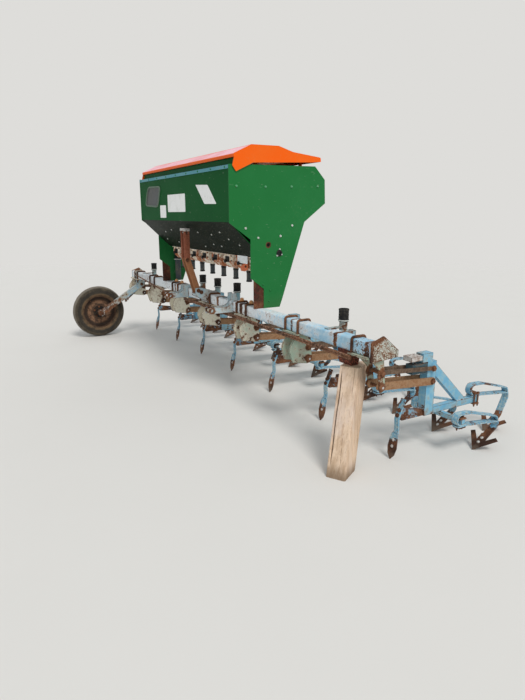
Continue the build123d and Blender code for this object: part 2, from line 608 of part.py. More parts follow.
def sleeve(x, y, d, wall, z0, z1):
    """Upright tube with that outer diameter."""
    return z_bar(x, y, d, z0, z1) - z_bar(x, y, d - 2 * wall, z0 - 1, z1 + 1)


def metering():
    """Row of metering boxes under the trough, with shutters, shaft, outlets and the pipe at the far side."""
    boxes, shutters, tubes, boots, holders = [], [], [], [], []
    front, back = METER_Y - METER_DEEP / 2, METER_Y + METER_DEEP / 2
    top = TROUGH_FLOOR - TROUGH_SHEET / 2
    low = top - METER_HIGH
    shaft_z = top - METER_HIGH / 2
    outline = [(front, top), (back, top), (back, low + METER_CHAMFER), (METER_Y + OUTLET_WIDE / 2, low),
               (METER_Y - OUTLET_WIDE / 2, low), (front, low + METER_CHAMFER)]
    first = HOPPER_X - METER_PITCH * (METER_COUNT - 1) / 2
    for number in range(METER_COUNT):
        x = first + number * METER_PITCH
        box = yz_plate(outline, x - METER_WIDTH / 2, METER_WIDTH)
        box -= x_bar(METER_Y, shaft_z, METER_SHAFT_D + 2 * FIT, x - METER_WIDTH, x + METER_WIDTH)
        boxes.append(box)
        shutters.append(block(x - SHUTTER_WIDE / 2, x + SHUTTER_WIDE / 2, front - SHUTTER_THICK, front,
                              low + METER_CHAMFER + 5, top - 20))
        tubes.append(sleeve(x, METER_Y, TUBE_D, TUBE_WALL, low - TUBE_LENGTH, low))
    half = HOPPER_LENGTH / 2 - SIDE_PLATE
    pipe_x = HOPPER_X - half + FIT + SIDE_PIPE_D / 2 + BOOT_WALL
    tubes.append(sleeve(pipe_x, METER_Y - 20, SIDE_PIPE_D, TUBE_WALL, SIDE_PIPE_LOW, SIDE_PIPE_TOP))
    boots.append(sleeve(pipe_x, METER_Y - 20, SIDE_PIPE_D + 2 * FIT + 2 * BOOT_WALL, BOOT_WALL,
                        SIDE_PIPE_TOP - 12, SIDE_PIPE_TOP - 12 + SIDE_PIPE_SLEEVE))
    for steps in HOLDERS:
        x = steps * GANG_PITCH
        bore = SOCKET_D - 2 * TUBE_WALL
        holder = block(x - HOLDER_WIDE / 2, x + HOLDER_WIDE / 2, -BAR_HALF + 12, HOLDER_Y,
                       BAR_HALF, BAR_HALF + HOLDER_FLAT)
        holder += z_bar(x, HOLDER_Y, SOCKET_D, SOCKET_LOW, SOCKET_TOP)
        holder -= z_bar(x, HOLDER_Y, bore, SOCKET_LOW - 1, SOCKET_TOP + 1)
        holders.append(holder)
        boots.append(sleeve(x, HOLDER_Y, SOCKET_D + 2 * FIT + 2 * BOOT_WALL, BOOT_WALL, BOOT_LOW, BOOT_TOP))
    save("meter_boxes", *boxes)
    save("meter_shutters", *shutters)
    save("meter_shaft", x_bar(METER_Y, shaft_z, METER_SHAFT_D, HOPPER_X - half, HOPPER_X + half))
    save("drop_tubes", *tubes)
    save("tube_holders", *holders)
    save("tube_boots", *boots)


def gauge_wheel():
    """Tyre, rim and hub that turn, on an axle carried by a square arm clamped to the toolbar."""
    place = Pos(WHEEL_X, WHEEL_Y, WHEEL_R)
    half = TYRE_WIDE / 2
    rim_r = RIM_D / 2
    shoulder = WHEEL_R - SHOULDER_DROP
    edge, bead, seat = half - SHOULDER_INSET, half - BEAD_INSET, rim_r + FIT
    crown = ThreePointArc((-edge, shoulder), (0, WHEEL_R), (edge, shoulder))
    right = ThreePointArc((edge, shoulder), (half, (shoulder + rim_r) / 2), (bead, seat))
    left = ThreePointArc((-bead, seat), (-half, (shoulder + rim_r) / 2), (-edge, shoulder))
    base = Line((bead, seat), (-bead, seat))
    tyre = revolve(make_face([crown, right, base, left]), Axis.X)
    save("wheel_tyre", place * tyre)
    rim_half = RIM_WIDE / 2
    hub_r = HUB_D / 2
    inside, well, bore = rim_r - RIM_SHEET, rim_r - RIM_WELL, hub_r + FIT
    back, well_back = DISC_FACE - RIM_SHEET, RIM_WELL_FACE - RIM_SHEET
    rim_outline = [(-rim_half, rim_r), (rim_half, rim_r), (rim_half, inside), (RIM_WELL_FACE, inside),
                   (RIM_WELL_FACE, well), (DISC_FACE, DISC_R), (DISC_FACE, bore), (back, bore),
                   (back, DISC_R), (well_back, well), (well_back, inside), (-rim_half, inside)]
    rim = revolve(make_face(Polyline(*rim_outline, close=True)), Axis.X)
    save("wheel_rim", place * rim)
    hub = extrude(Plane.YZ.offset(-HUB_LENGTH / 2) * Circle(hub_r), HUB_LENGTH)
    hub += extrude(Plane.YZ.offset(DISC_FACE + FIT) * Circle(hub_r + HUB_FLANGE), HUB_FLANGE_THICK)
    hub -= extrude(Plane.YZ.offset(-HUB_LENGTH / 2 - 1) * Circle(AXLE_D / 2 + FIT), HUB_LENGTH + 2)
    save("wheel_hub", place * hub)

    axle_z = WHEEL_R - BAR_HEIGHT
    arm_half = WHEEL_ARM / 2
    boss_d = AXLE_D + BOSS_WIDER
    collar_d = AXLE_D + COLLAR_WIDER
    hub_far, hub_near = WHEEL_X - HUB_LENGTH / 2, WHEEL_X + HUB_LENGTH / 2
    axle = x_bar(WHEEL_Y, axle_z, AXLE_D, hub_far - AXLE_END, WHEEL_ARM_X + arm_half + AXLE_END)
    axle += x_bar(WHEEL_Y, axle_z, collar_d, hub_far - AXLE_END, hub_far - COLLAR_GAP)
    axle += x_bar(WHEEL_Y, axle_z, collar_d, hub_near + COLLAR_GAP, WHEEL_ARM_X - arm_half)
    save("wheel_axle", axle)
    x0 = WHEEL_ARM_X - arm_half
    pad_top = -BAR_HALF - BASE_THICK
    arm_bar = yz_flat(WHEEL_ARM_X, (ARM_PIVOT_Y, WHEEL_PIVOT_Z), (WHEEL_Y, axle_z), WHEEL_ARM, WHEEL_ARM)
    pad = [(-WHEEL_PAD_DEEP, pad_top), (WHEEL_PAD_DEEP, pad_top), (WHEEL_PAD_DEEP, pad_top - WHEEL_PAD),
           (ARM_PIVOT_Y + 30, WHEEL_PIVOT_Z - 22), (ARM_PIVOT_Y - 34, WHEEL_PIVOT_Z - 34),
           (-WHEEL_PAD_DEEP, pad_top - WHEEL_PAD)]
    arm_bar += yz_plate(pad, x0, WHEEL_ARM)
    arm_bar += x_bar(WHEEL_Y, axle_z, boss_d, x0, x0 + WHEEL_ARM)
    arm_bar -= x_bar(WHEEL_Y, axle_z, AXLE_D + 2 * FIT, x0 - 1, x0 + WHEEL_ARM + 1)
    screw = straight_rod((WHEEL_ARM_X, *SCREW_LOW), (WHEEL_ARM_X, *SCREW_TOP), SCREW_D)
    lug_x = WHEEL_ARM_X - SCREW_LUG / 2
    screw += yz_plate([(-150, -205), (-202, -238), (-202, -312), (-184, -312)], lug_x, SCREW_LUG)
    screw += yz_plate([(30, pad_top - 2), (56, pad_top - 2), (56, -108), (36, -108)], lug_x, SCREW_LUG)
    arm_bar += screw
    out = BAR_HALF + WHEEL_STRAP
    strap = [(-out, -BAR_HALF), (-BAR_HALF, -BAR_HALF), (-BAR_HALF, BAR_HALF), (BAR_HALF, BAR_HALF),
             (BAR_HALF, out), (-out, out)]
    save("wheel_arm", arm_bar, yz_plate(strap, x0, WHEEL_ARM))


def end_post():
    """Split wooden post under the near end, with the steel saddle that stands on it."""
    seat = -BAR_HALF
    top = BAR_HEIGHT + seat - SADDLE_HIGH
    section = Rot(0, 0, POST_TURN) * Rectangle(POST_THICK, POST_WIDE)
    foot_face = Plane((POST_FOOT_X, POST_FOOT_Y, 0)) * section
    top_face = Plane((POST_TOP_X, POST_TOP_Y, top)) * section
    save("wooden_post", loft([foot_face, top_face], ruled=True))
    outline = [(-SADDLE_TOP_HALF, seat), (SADDLE_TOP_HALF, seat),
               (SADDLE_LOW_HALF, seat - SADDLE_HIGH), (-SADDLE_LOW_HALF, seat - SADDLE_HIGH)]
    save("post_saddle", yz_plate(outline, SADDLE_X, SADDLE_LONG))


def save(name, *shapes):
    """Write one node's solids, moved into the part's frame."""
    solids = [solid for shape in shapes for solid in shape.solids()]
    moved = [Pos(0, -ORIGIN_Y, 0) * solid for solid in solids]
    export_step(Compound(children=moved), f"parts/{name}.step")


os.makedirs("parts", exist_ok=True)
toolbar()
hitch()
stay_rods()
gangs()
hopper()
lid()
metering()
gauge_wheel()
end_post()
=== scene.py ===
import math
import random

import bmesh
import bpy
from mathutils import Matrix, Vector, noise


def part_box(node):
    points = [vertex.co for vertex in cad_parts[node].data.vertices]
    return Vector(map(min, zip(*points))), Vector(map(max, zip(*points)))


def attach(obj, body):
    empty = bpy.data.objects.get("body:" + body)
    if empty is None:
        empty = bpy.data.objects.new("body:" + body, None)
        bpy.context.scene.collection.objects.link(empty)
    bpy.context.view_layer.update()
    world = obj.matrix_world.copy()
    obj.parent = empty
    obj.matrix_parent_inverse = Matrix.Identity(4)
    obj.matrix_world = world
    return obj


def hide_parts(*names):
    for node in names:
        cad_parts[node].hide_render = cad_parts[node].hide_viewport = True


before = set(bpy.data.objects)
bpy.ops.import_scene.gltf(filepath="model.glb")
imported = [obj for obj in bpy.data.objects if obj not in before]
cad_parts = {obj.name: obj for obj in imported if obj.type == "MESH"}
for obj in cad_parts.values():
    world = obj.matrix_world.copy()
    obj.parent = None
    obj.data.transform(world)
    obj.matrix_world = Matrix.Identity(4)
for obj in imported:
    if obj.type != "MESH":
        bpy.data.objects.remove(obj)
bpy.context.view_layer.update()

# Ground, light and camera: plain pale ground under an even sky with a soft sun, seen from
# a little above the machine's near end, as somebody walking up to it would see it.
bpy.context.scene.view_settings.view_transform = "Standard"
bar_low, bar_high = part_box("toolbar")
BAR_Y = (bar_low.y + bar_high.y) / 2
BAR_Z = (bar_low.z + bar_high.z) / 2
GROUND_R, GROUND_SHOWN, GROUND_GONE = 26.0, 6.0, 15.0


def at(x, y, z):
    """A point given in millimetres from the middle of the toolbar."""
    return Vector((x / 1000, BAR_Y + y / 1000, BAR_Z + z / 1000))


def rgb(red, green, blue):
    """Colour given as it shows, 0 to 255, in the linear numbers that shaders take."""
    parts = [c / 255 for c in (red, green, blue)]
    return tuple(c / 12.92 if c <= 0.04045 else ((c + 0.055) / 1.055) ** 2.4 for c in parts)


class Wire:
    """A node's output that Python's arithmetic works on: each sum adds a Math node."""

    def __init__(self, finish, socket):
        self.finish = finish
        self.socket = socket

    def compute(self, operation, *values):
        return self.finish.node("Math", {"operation": operation}, *values)

    def __add__(self, other):
        return self.compute("ADD", self, other)

    def __radd__(self, other):
        return self.compute("ADD", other, self)

    def __sub__(self, other):
        return self.compute("SUBTRACT", self, other)

    def __rsub__(self, other):
        return self.compute("SUBTRACT", other, self)

    def __mul__(self, other):
        return self.compute("MULTIPLY", self, other)

    def __rmul__(self, other):
        return self.compute("MULTIPLY", other, self)

    def __abs__(self):
        return self.compute("ABSOLUTE", self)

    def most(self, other):
        """The larger of the two."""
        return self.compute("MAXIMUM", self, other)

    def root(self):
        return self.compute("SQRT", self)

    def rise(self, low, high):
        """0 at low, 1 at high and a soft step between them. It falls where low is the larger."""
        return self.finish.node("MapRange", {"interpolation_type": "SMOOTHSTEP"}, self, low, high, 0.0, 1.0)


def span(one, other):
    """How long a step is that goes that far one way and that far across it."""
    return (one * one + other * other).root()


class Finish:
    """One material. node() adds any node, and paint() sets what the shader shows."""

    def __init__(self, name, shine=0.3):
        self.material = bpy.data.materials.new(name)
        self.material.use_nodes = True
        self.tree = self.material.node_tree
        self.shader = self.tree.nodes["Principled BSDF"]
        self.shader.inputs["Specular IOR Level"].default_value = shine
        self.place = self.node("TexCoord", output="Object")

    def feed(self, socket, value):
        if isinstance(value, Wire):
            self.tree.links.new(value.socket, socket)
        elif socket.type == "RGBA":
            socket.default_value = (*value[:3], 1.0)
        else:
            socket.default_value = value

    def node(self, kind, settings=None, *values, output=0, **named):
        made = self.tree.nodes.new("ShaderNode" + kind)
        for name, value in (settings or {}).items():
            setattr(made, name, value)
        sockets = [s for s in made.inputs if s.enabled]
        for socket, value in zip(sockets, values):
            self.feed(socket, value)
        for name, value in named.items():
            self.feed(next(s for s in sockets if s.name == name), value)
        shown = [s for s in made.outputs if s.enabled]
        found = shown[output] if isinstance(output, int) else made.outputs[output]
        return Wire(self, found)

    def mix(self, share, under, over):
        """The colour under, with that share of the colour over it."""
        return self.node("Mix", {"data_type": "RGBA"}, share, under, over)

    def noise(self, scale, detail=4.0, roughness=0.55, stretch=(1, 1, 1), shift=0.0):
        where = self.node("Mapping", None, self.place, Location=(shift, shift, shift), Scale=stretch)
        return self.node("TexNoise", None, where, Scale=scale, Detail=detail, Roughness=roughness)

    def axes(self, where=None):
        """X, Y and Z of a place on the surface, or of another vector."""
        split = self.node("SeparateXYZ", None, where or self.place)
        return [Wire(self, s) for s in split.socket.node.outputs]

    def edges(self, radius):
        """1 along the outer edges of the metal, within that radius."""
        soft = self.node("Bevel", {"samples": 6}, radius)
        plain = self.node("NewGeometry", output="Normal")
        same = self.node("VectorMath", {"operation": "DOT_PRODUCT"}, soft, plain, output="Value")
        return (1 - same).rise(0.01, 0.25)

    def paint(self, height=None, depth=0.001, soft=0.0, **sockets):
        """Sets the shader's sockets. height is the relief, depth its size, soft the edges' radius."""
        for name, value in sockets.items():
            self.feed(self.shader.inputs[name.replace("_", " ")], value)
        relief = {}
        if soft:
            relief["Normal"] = self.node("Bevel", {"samples": 6}, soft)
        if height is not None:
            bump = self.node("Bump", None, Strength=1.0, Distance=depth, Height=height, **relief)
            self.feed(self.shader.inputs["Normal"], bump)
        return self.material


ground_mesh = bmesh.new()
bmesh.ops.create_circle(ground_mesh, cap_ends=True, radius=GROUND_R, segments=96)
ground_data = bpy.data.meshes.new("ground")
ground_mesh.to_mesh(ground_data)
ground = bpy.data.objects.new("ground", ground_data)
bpy.context.scene.collection.objects.link(ground)
ground_finish = Finish("pale_ground")
ground_left = span(*ground_finish.axes()[:2]).rise(GROUND_GONE, GROUND_SHOWN)
ground_colour = ground_finish.mix(ground_finish.noise(1.4, 3) * 0.06, rgb(226, 224, 220), rgb(170, 166, 158))
ground_finish.paint(Base_Color=ground_colour, Roughness=0.9, Alpha=ground_left)
ground_data.materials.append(ground_finish.material)

sky = bpy.data.worlds.new("sky")
sky.use_nodes = True
bpy.context.scene.world = sky
sky_nodes = sky.node_tree
sky_nodes.nodes.clear()
sky_out = sky_nodes.nodes.new("ShaderNodeOutputWorld")
sky_mix = sky_nodes.nodes.new("ShaderNodeMixShader")
sky_ray = sky_nodes.nodes.new("ShaderNodeLightPath")
sky_light = sky_nodes.nodes.new("ShaderNodeBackground")
sky_shown = sky_nodes.nodes.new("ShaderNodeBackground")
sky_light.inputs["Color"].default_value = (0.93, 0.97, 1.0, 1.0)
sky_light.inputs["Strength"].default_value = 0.58
sky_shown.inputs["Color"].default_value = (*rgb(222, 221, 218), 1.0)
sky_any = sky_nodes.nodes.new("ShaderNodeMath")
sky_any.operation = "MAXIMUM"
sky_nodes.links.new(sky_ray.outputs["Is Camera Ray"], sky_any.inputs[0])
sky_nodes.links.new(sky_ray.outputs["Is Transmission Ray"], sky_any.inputs[1])
sky_nodes.links.new(sky_any.outputs[0], sky_mix.inputs["Fac"])
sky_nodes.links.new(sky_light.outputs[0], sky_mix.inputs[1])
sky_nodes.links.new(sky_shown.outputs[0], sky_mix.inputs[2])
sky_nodes.links.new(sky_mix.outputs[0], sky_out.inputs["Surface"])

key = bpy.data.objects.new("key_light", bpy.data.lights.new("key_light", "SUN"))
key.data.energy = 1.7
key.data.angle = math.radians(20)
key.data.color = (1.0, 0.975, 0.94)
key.rotation_euler = Vector((0.72, -0.05, 0.95)).to_track_quat("Z", "Y").to_euler()
bpy.context.scene.collection.objects.link(key)

VIEW_TURN, VIEW_DOWN = math.radians(60.0), math.radians(14.48)
view_line = Vector((
    -math.sin(VIEW_TURN) * math.cos(VIEW_DOWN),
    math.cos(VIEW_TURN) * math.cos(VIEW_DOWN),
    -math.sin(VIEW_DOWN),
))
camera = bpy.data.objects.new("camera", bpy.data.cameras.new("camera"))
camera.data.lens = 27.05
camera.data.sensor_width = 36.0
camera.data.clip_end = 200.0
camera.location = at(4272, -1914, 714)
camera.rotation_euler = view_line.to_track_quat("-Z", "Y").to_euler()
bpy.context.scene.collection.objects.link(camera)
bpy.context.scene.camera = camera

# Toolbar: a square steel tube, 80 mm, with a plate welded on each end. The sky-blue paint
# has gone chalky, most in the middle. It has chipped and bled rust along the corners, on
# the end plates and where clamps once sat.
RUST_DARK, RUST_WARM, RUST_PALE = rgb(58, 37, 28), rgb(108, 64, 41), rgb(152, 112, 82)


def rust_colour(finish, grain):
    """Brown rust: dark pits, a warm middle and dusty pale patches."""
    patches = finish.noise(9, 5, 0.6, shift=3.7)
    tone = finish.mix(patches.rise(0.35, 0.65), RUST_DARK, RUST_WARM)
    return finish.mix((grain * 0.6 + patches * 0.5).rise(0.5, 0.78), tone, RUST_PALE)


def chipped_paint(name, coat, chalk, bare=0.5, worn=0.5, gloss=0.45, streak=0.25, fine=0.0, marks=None,
                  fade_and_shade=None):
    """Old paint on steel: bare is how much is off, worn how much at the edges, fine how small it chips."""
    finish = Finish(name)
    broad = finish.noise(4.5, 4, 0.6)
    chips = finish.noise(34, 6, 0.62, shift=1.3)
    specks = finish.noise(150, 3, 0.5, shift=7.1)
    wear = broad * (0.42 - 0.3 * fine) + chips * (0.43 - 0.1 * fine) + specks * (0.15 + 0.4 * fine)
    if worn:
        wear = wear + finish.edges(0.008) * (0.22 * worn)
    if marks is not None:
        wear = wear + marks(finish)
    limit = 0.72 - 0.26 * bare
    off = wear.rise(limit - 0.012, limit + 0.012)
    stain = wear.rise(limit - 0.09, limit + 0.01)
    chalky = chips * 0.5 + broad * 0.6
    if fade_and_shade is not None:
        chalky = chalky + fade_and_shade(finish)
    faded = finish.mix(chalky.rise(0.38, 0.68), coat, chalk)
    runs = finish.noise(14, 3, 0.5, stretch=(1, 1, 0.15), shift=5.0).rise(0.5, 0.78)
    dusty = finish.mix(runs * streak, faded, rgb(178, 162, 138))
    stained = finish.mix(stain * 0.5, dusty, rgb(142, 100, 70))
    colour = finish.mix(off, stained, rust_colour(finish, specks))
    height = (1 - off) * 0.6 + specks * off * 0.5 + chips * 0.15
    rough = gloss + off * (0.88 - gloss) + chips * 0.08
    return finish.paint(height, 0.0006, soft=0.0012, Base_Color=colour, Roughness=rough)


def dress(material, *names):
    """Gives nodes of the machine their finish."""
    for name in names:
        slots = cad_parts[name].data.materials
        slots.clear()
        slots.append(material)


def rod(mesh, line, radius, sides=10):
    """Adds a round rod along a line of points, with flat ends. radius is one number or one a point."""
    points = [Vector(p) for p in line]
    radii = radius if isinstance(radius, list) else [radius] * len(points)
    side = None
    rings = []
    for k, point in enumerate(points):
        before = points[max(k - 1, 0)]
        after = points[min(k + 1, len(points) - 1)]
        way = (after - before).normalized()
        if side is None:
            side = way.orthogonal().normalized()
        side = (side - way * side.dot(way)).normalized()
        other = way.cross(side)
        turns = [2 * math.pi * t / sides for t in range(sides)]
        ring = [math.cos(t) * side + math.sin(t) * other for t in turns]
        rings.append([mesh.verts.new(point + radii[k] * spoke) for spoke in ring])
    for low, high in zip(rings, rings[1:]):
        for k in range(sides):
            n = (k + 1) % sides
            mesh.faces.new((low[k], low[n], high[n], high[k]))
    mesh.faces.new(reversed(rings[0]))
    mesh.faces.new(rings[-1])


def weld(mesh, *places):
    """Adds a weld bead from place to place, in millimetres: a low rope of uneven ripples."""
    corners = [at(*place) for place in places]
    path = []
    for start, end in zip(corners, corners[1:]):
        count = max(2, round((end - start).length / WELD_STEP))
        path += [start.lerp(end, k / count) for k in range(count)]
    path.append(corners[-1])
    ripples = [WELD_R * (0.72 + 0.3 * (k % 2) + 0.16 * dice.random()) for k in range(len(path))]
    rod(mesh, path, ripples, 8)


def add_piece(name, mesh, material, body="frame", stands_for=(), crease=0.55):
    """Makes one object of a mesh and lets it ride on a body of the machine."""
    bmesh.ops.recalc_face_normals(mesh, faces=mesh.faces)
    for edge in mesh.edges:
        edge.smooth = len(edge.link_faces) == 2 and edge.calc_face_angle(0) < crease
    for face in mesh.faces:
        face.smooth = True
    data = bpy.data.meshes.new(name)
    mesh.to_mesh(data)
    mesh.free()
    data.materials.append(material)
    made = bpy.data.objects.new(name, data)
    bpy.context.scene.collection.objects.link(made)
    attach(made, body)
    if stands_for:
        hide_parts(*stands_for)
    return made


dice = random.Random(7)
WELD_R, WELD_STEP = 0.004, 0.0045
BAR_HALF, BAR_CORNER = 40, 33
# Welds on the bar lie with their middle this far from the bar's own
ON_BAR = 41
# Columns: place along the bar in metres from its middle, half the band's width
RUSTY_BANDS = ((2.165, 0.016), (1.88, 0.010), (1.41, 0.008), (0.69, 0.016), (0.61, 0.010), (0.27, 0.014),
               (-0.72, 0.014))


def clamp_marks(finish):
    """Rusty bands where clamps once sat on the bar, and a bald stretch at its near end."""
    along = finish.axes()[0]
    speckle = finish.noise(95, 4, 0.65, shift=2.6)
    band = along.rise(2.06, 2.2) * 0.3 + along.rise(1.96, 2.06) * (speckle - 0.46) * 5.0
    for place, half in RUSTY_BANDS:
        band = band.most(abs(along - place).rise(half * 2.2, half))
    return band * 0.16


def bar_fade(finish):
    """The sun has turned the middle of the bar nearly white."""
    along = finish.axes()[0]
    return along.rise(1.2, 0.7) * 0.16 + along.rise(0.5, -0.5) * 0.06 - along.rise(1.3, 1.9) * 0.07


BAR_BLUE, BAR_CHALK = rgb(154, 202, 228), rgb(236, 243, 246)
dress(chipped_paint("sky_blue_paint", BAR_BLUE, BAR_CHALK, bare=0.42, worn=1.0, gloss=0.5, fine=0.2,
                    marks=clamp_marks, fade_and_shade=bar_fade), "toolbar")


def plate_marks(finish):
    """The end plates have rusted most along their tops and fronts."""
    y, z = finish.axes()[1:]
    top = (z - (y - BAR_Y) * 0.35).rise(BAR_Z + 0.022, BAR_Z + 0.056)
    front = y.rise(BAR_Y - 0.02, BAR_Y - 0.045)
    return top.most(front) * 0.15


dress(chipped_paint("cream_paint", rgb(190, 204, 198), rgb(206, 202, 184), bare=0.84, worn=0.6, gloss=0.6,
                    streak=0.9, fine=0.9, marks=plate_marks), "toolbar_end_plates")
rusty_weld = chipped_paint("painted_weld", BAR_BLUE, BAR_CHALK, bare=0.85, worn=0.0)
BAR_END_WELD = 2187
bar_weld_mesh = bmesh.new()
flat, out = BAR_CORNER, BAR_HALF
bar_ring = ((-flat, -out), (flat, -out), (out, -flat), (out, flat), (flat, out), (-flat, out), (-out, flat),
            (-out, -flat), (-flat, -out))
for x in (BAR_END_WELD, -BAR_END_WELD):
    weld(bar_weld_mesh, *((x, y, z) for y, z in bar_ring))
add_piece("bar_end_welds", bar_weld_mesh, rusty_weld)

# U-bolts: round bar bent square over the toolbar, the two threaded tails drawn down
# through each bracket by hexagon nuts on washers. All of it is brown with rust.
U_BOLT_OUT, U_BOLT_R, U_BOLT_BEND = 48.3, 8, 16
U_BOLT_SEAT, U_BOLT_TAIL = -50, 34
GANG_PITCH = 710
FRONT, BACK, UP, DOWN, NEAR = (0, -1, 0), (0, 1, 0), (0, 0, 1), (0, 0, -1), (1, 0, 0)
# Columns: gang's place in pitches from the middle, places of its U-bolts from it
U_BOLTS = ((3, (-90,)), (2, (75, -75)), (1, (75, -75)), (0, (125, -75)), (-1, (75, -75)), (-2, (75, -75)),
           (-3, (70, 170)))


def bare_rust(name, over=None, share=0.5, rough=0.9, dusty=0.0):
    """Steel with no paint left on it; over is what still clings to it in patches."""
    finish = Finish(name)
    grain = finish.noise(210, 4, 0.6, shift=2.2)
    scale = finish.noise(46, 5, 0.65, shift=9.4)
    colour = rust_colour(finish, grain)
    if over is not None:
        colour = finish.mix(scale.rise(0.5, 0.62) * share, colour, over)
    if dusty:
        colour = finish.mix((grain * 0.5 + scale * 0.5).rise(0.4, 0.62) * dusty, colour, rgb(176, 146, 116))
    return finish.paint(grain * 0.35 + scale * 0.65, 0.0009, Base_Color=colour, Roughness=rough)


def pointing(origin, way):
    """Matrix that puts local Z along a direction, at a point."""
    return Matrix.Translation(origin) @ Vector(way).to_track_quat("Z", "Y").to_matrix().to_4x4()


def lathe(mesh, profile, sides, place):
    """Adds a turned form: (radius, height) from its foot up, with that many sides."""
    rings = []
    for radius, height in profile:
        turns = [2 * math.pi * k / sides for k in range(sides)] if radius > 1e-6 else [0.0]
        ring = [Vector((radius * math.cos(t), radius * math.sin(t), height)) for t in turns]
        rings.append([mesh.verts.new(place @ point) for point in ring])
    for low, high in zip(rings, rings[1:]):
        for k in range(sides):
            n = (k + 1) % sides
            corners = (low[k % len(low)], low[n % len(low)], high[n % len(high)], high[k % len(high)])
            corners = list(dict.fromkeys(corners))
            if len(corners) > 2:
                mesh.faces.new(corners)


def hexagon(mesh, place, across, high, washer=0.0):
    """Adds a hexagon nut or bolt head with a chamfered top, on a washer where it has one."""
    corner = across / math.sqrt(3)
    if washer:
        lathe(mesh, [(0, 0), (corner * 1.25, 0), (corner * 1.25, washer), (0, washer)], 20, place)
    low, top = washer, washer + high
    lathe(mesh, [(0, low), (corner * 0.93, low), (corner, low + 0.1 * high), (corner, top - 0.12 * high),
                 (corner * 0.9, top), (0, top)], 6, place)


def thread(mesh, place, radius, length, pitch=0.0022):
    """Adds a threaded end."""
    count = max(2, int(length / pitch))
    profile = [(0, 0)]
    for k in range(count):
        profile += [(radius, k * length / count), (radius * 0.88, (k + 0.5) * length / count)]
    lathe(mesh, profile + [(radius * 0.8, length), (0, length)], 12, place)


def arc(centre, start, end, count):
    """Points of a quarter bend about a centre, from one direction to another."""
    return [centre + math.cos(t) * Vector(start) + math.sin(t) * Vector(end)
            for t in (math.pi / 2 * k / count for k in range(count + 1))]


rusty_steel = bare_rust("rusty_steel")
u_bolt_mesh = bmesh.new()
out, bend = U_BOLT_OUT, U_BOLT_BEND / 1000
turn_at, foot = U_BOLT_OUT - U_BOLT_BEND, U_BOLT_SEAT + 4
for steps, offsets in U_BOLTS:
    for x in (steps * GANG_PITCH + offset for offset in offsets):
        front_bend = arc(at(x, -turn_at, turn_at), (0, -bend, 0), (0, 0, bend), 6)
        back_bend = arc(at(x, turn_at, turn_at), (0, 0, bend), (0, bend, 0), 6)
        rod(u_bolt_mesh, [at(x, -out, foot), *front_bend, *back_bend, at(x, out, foot)], U_BOLT_R / 1000, 12)
        for y in (-out, out):
            down = pointing(at(x, y, U_BOLT_SEAT), DOWN)
            hexagon(u_bolt_mesh, down, 0.024, 0.0105, 0.0025)
            thread(u_bolt_mesh, down, U_BOLT_R / 1000, U_BOLT_TAIL / 1000)
add_piece("u_bolt_set", u_bolt_mesh, rusty_steel, stands_for=["u_bolts"])

# Clamp nuts: domed nuts that stand on top of the third and fifth gangs' U-bolts, on thick
# washers. They are turned steel under a thin coat of orange rust.
U_BOLT_TOP = 55
NUT_PROFILE = ((0, 0), (0.019, 0), (0.019, 0.004), (0.0145, 0.005), (0.0155, 0.011), (0.0135, 0.018),
               (0.008, 0.0225), (0, 0.024))


def orange_rust():
    """A thin bright coat of young rust."""
    finish = Finish("orange_rust", shine=0.5)
    grain = finish.noise(110, 4, 0.6)
    colour = finish.mix(grain.rise(0.42, 0.66), rgb(236, 184, 130), rgb(182, 108, 58))
    return finish.paint(grain, 0.0004, Base_Color=colour, Roughness=0.5 + grain * 0.3)


clamp_nut_mesh = bmesh.new()
for steps, offsets in (U_BOLTS[2], U_BOLTS[4]):
    for offset in offsets:
        lathe(clamp_nut_mesh, NUT_PROFILE, 24, pointing(at(steps * GANG_PITCH + offset, 0, U_BOLT_TOP), UP))
add_piece("clamp_top_nuts", clamp_nut_mesh, orange_rust())

# Hitch: two pairs of lugs for the tractor's lower arms, welded to the front of the bar,
# and a mast of two flats with a bright cap for the top link. The lugs keep their pale
# paint, the mast is plain rust, and it is bolted between the plates of its foot.
LUG_BORE_Y, LUG_BORE_Z = -222, -22
LUG_PLATES_X, LUG_HALF, LUG_LOW = (549, 481, -381, -449), 6, -44
MAST_X, MAST_PIN_Y, MAST_TOP, MAST_TAN = 50, -225, 595, (382, 362)
FOOT_OUT, FOOT_LOW = 46, -28


def lug_marks(finish):
    """The lugs have worn round their bores."""
    y, z = finish.axes()[1:]
    bore = at(0, LUG_BORE_Y, LUG_BORE_Z)
    return span(y - bore.y, z - bore.z).rise(0.034, 0.018) * 0.14


def mast_rust():
    """Plain red rust, with a tan upper half."""
    finish = Finish("mast_rust")
    grain = finish.noise(190, 4, 0.6, shift=2.2)
    scale = finish.noise(40, 5, 0.65, shift=5.4)
    tan_from, tan_to = (at(0, 0, height).z for height in MAST_TAN)
    tan = (finish.axes()[2] + scale * 0.04).rise(tan_from, tan_to) * 0.55
    red = finish.mix(grain.rise(0.4, 0.6), rgb(130, 74, 54), rgb(166, 102, 78))
    colour = finish.mix(scale.rise(0.5, 0.62) * 0.25, red, rust_colour(finish, grain))
    colour = finish.mix(tan, colour, rgb(176, 128, 86))
    return finish.paint(grain * 0.4 + scale * 0.6, 0.0009, Base_Color=colour, Roughness=0.88)


lug_paint = chipped_paint("pale_lug_paint", rgb(170, 204, 218), rgb(218, 226, 224), bare=0.52, worn=1.0,
                          gloss=0.55, marks=lug_marks)
dress(lug_paint, "hitch_lugs", "mast_foot")
dress(mast_rust(), "mast_flats")

# Mast cap: a bright folded cover over the tops of the two flats, with a skirt at its front
# and sides. It is plated steel that has gone dull.
CAP_HALF, CAP_DEEP, SKIRT_FRONT = 0.040, 0.028, -250.2
FLAP_HALF, FLAP_DEEP, FLAP_OUT = 0.027, 0.019, 36.2


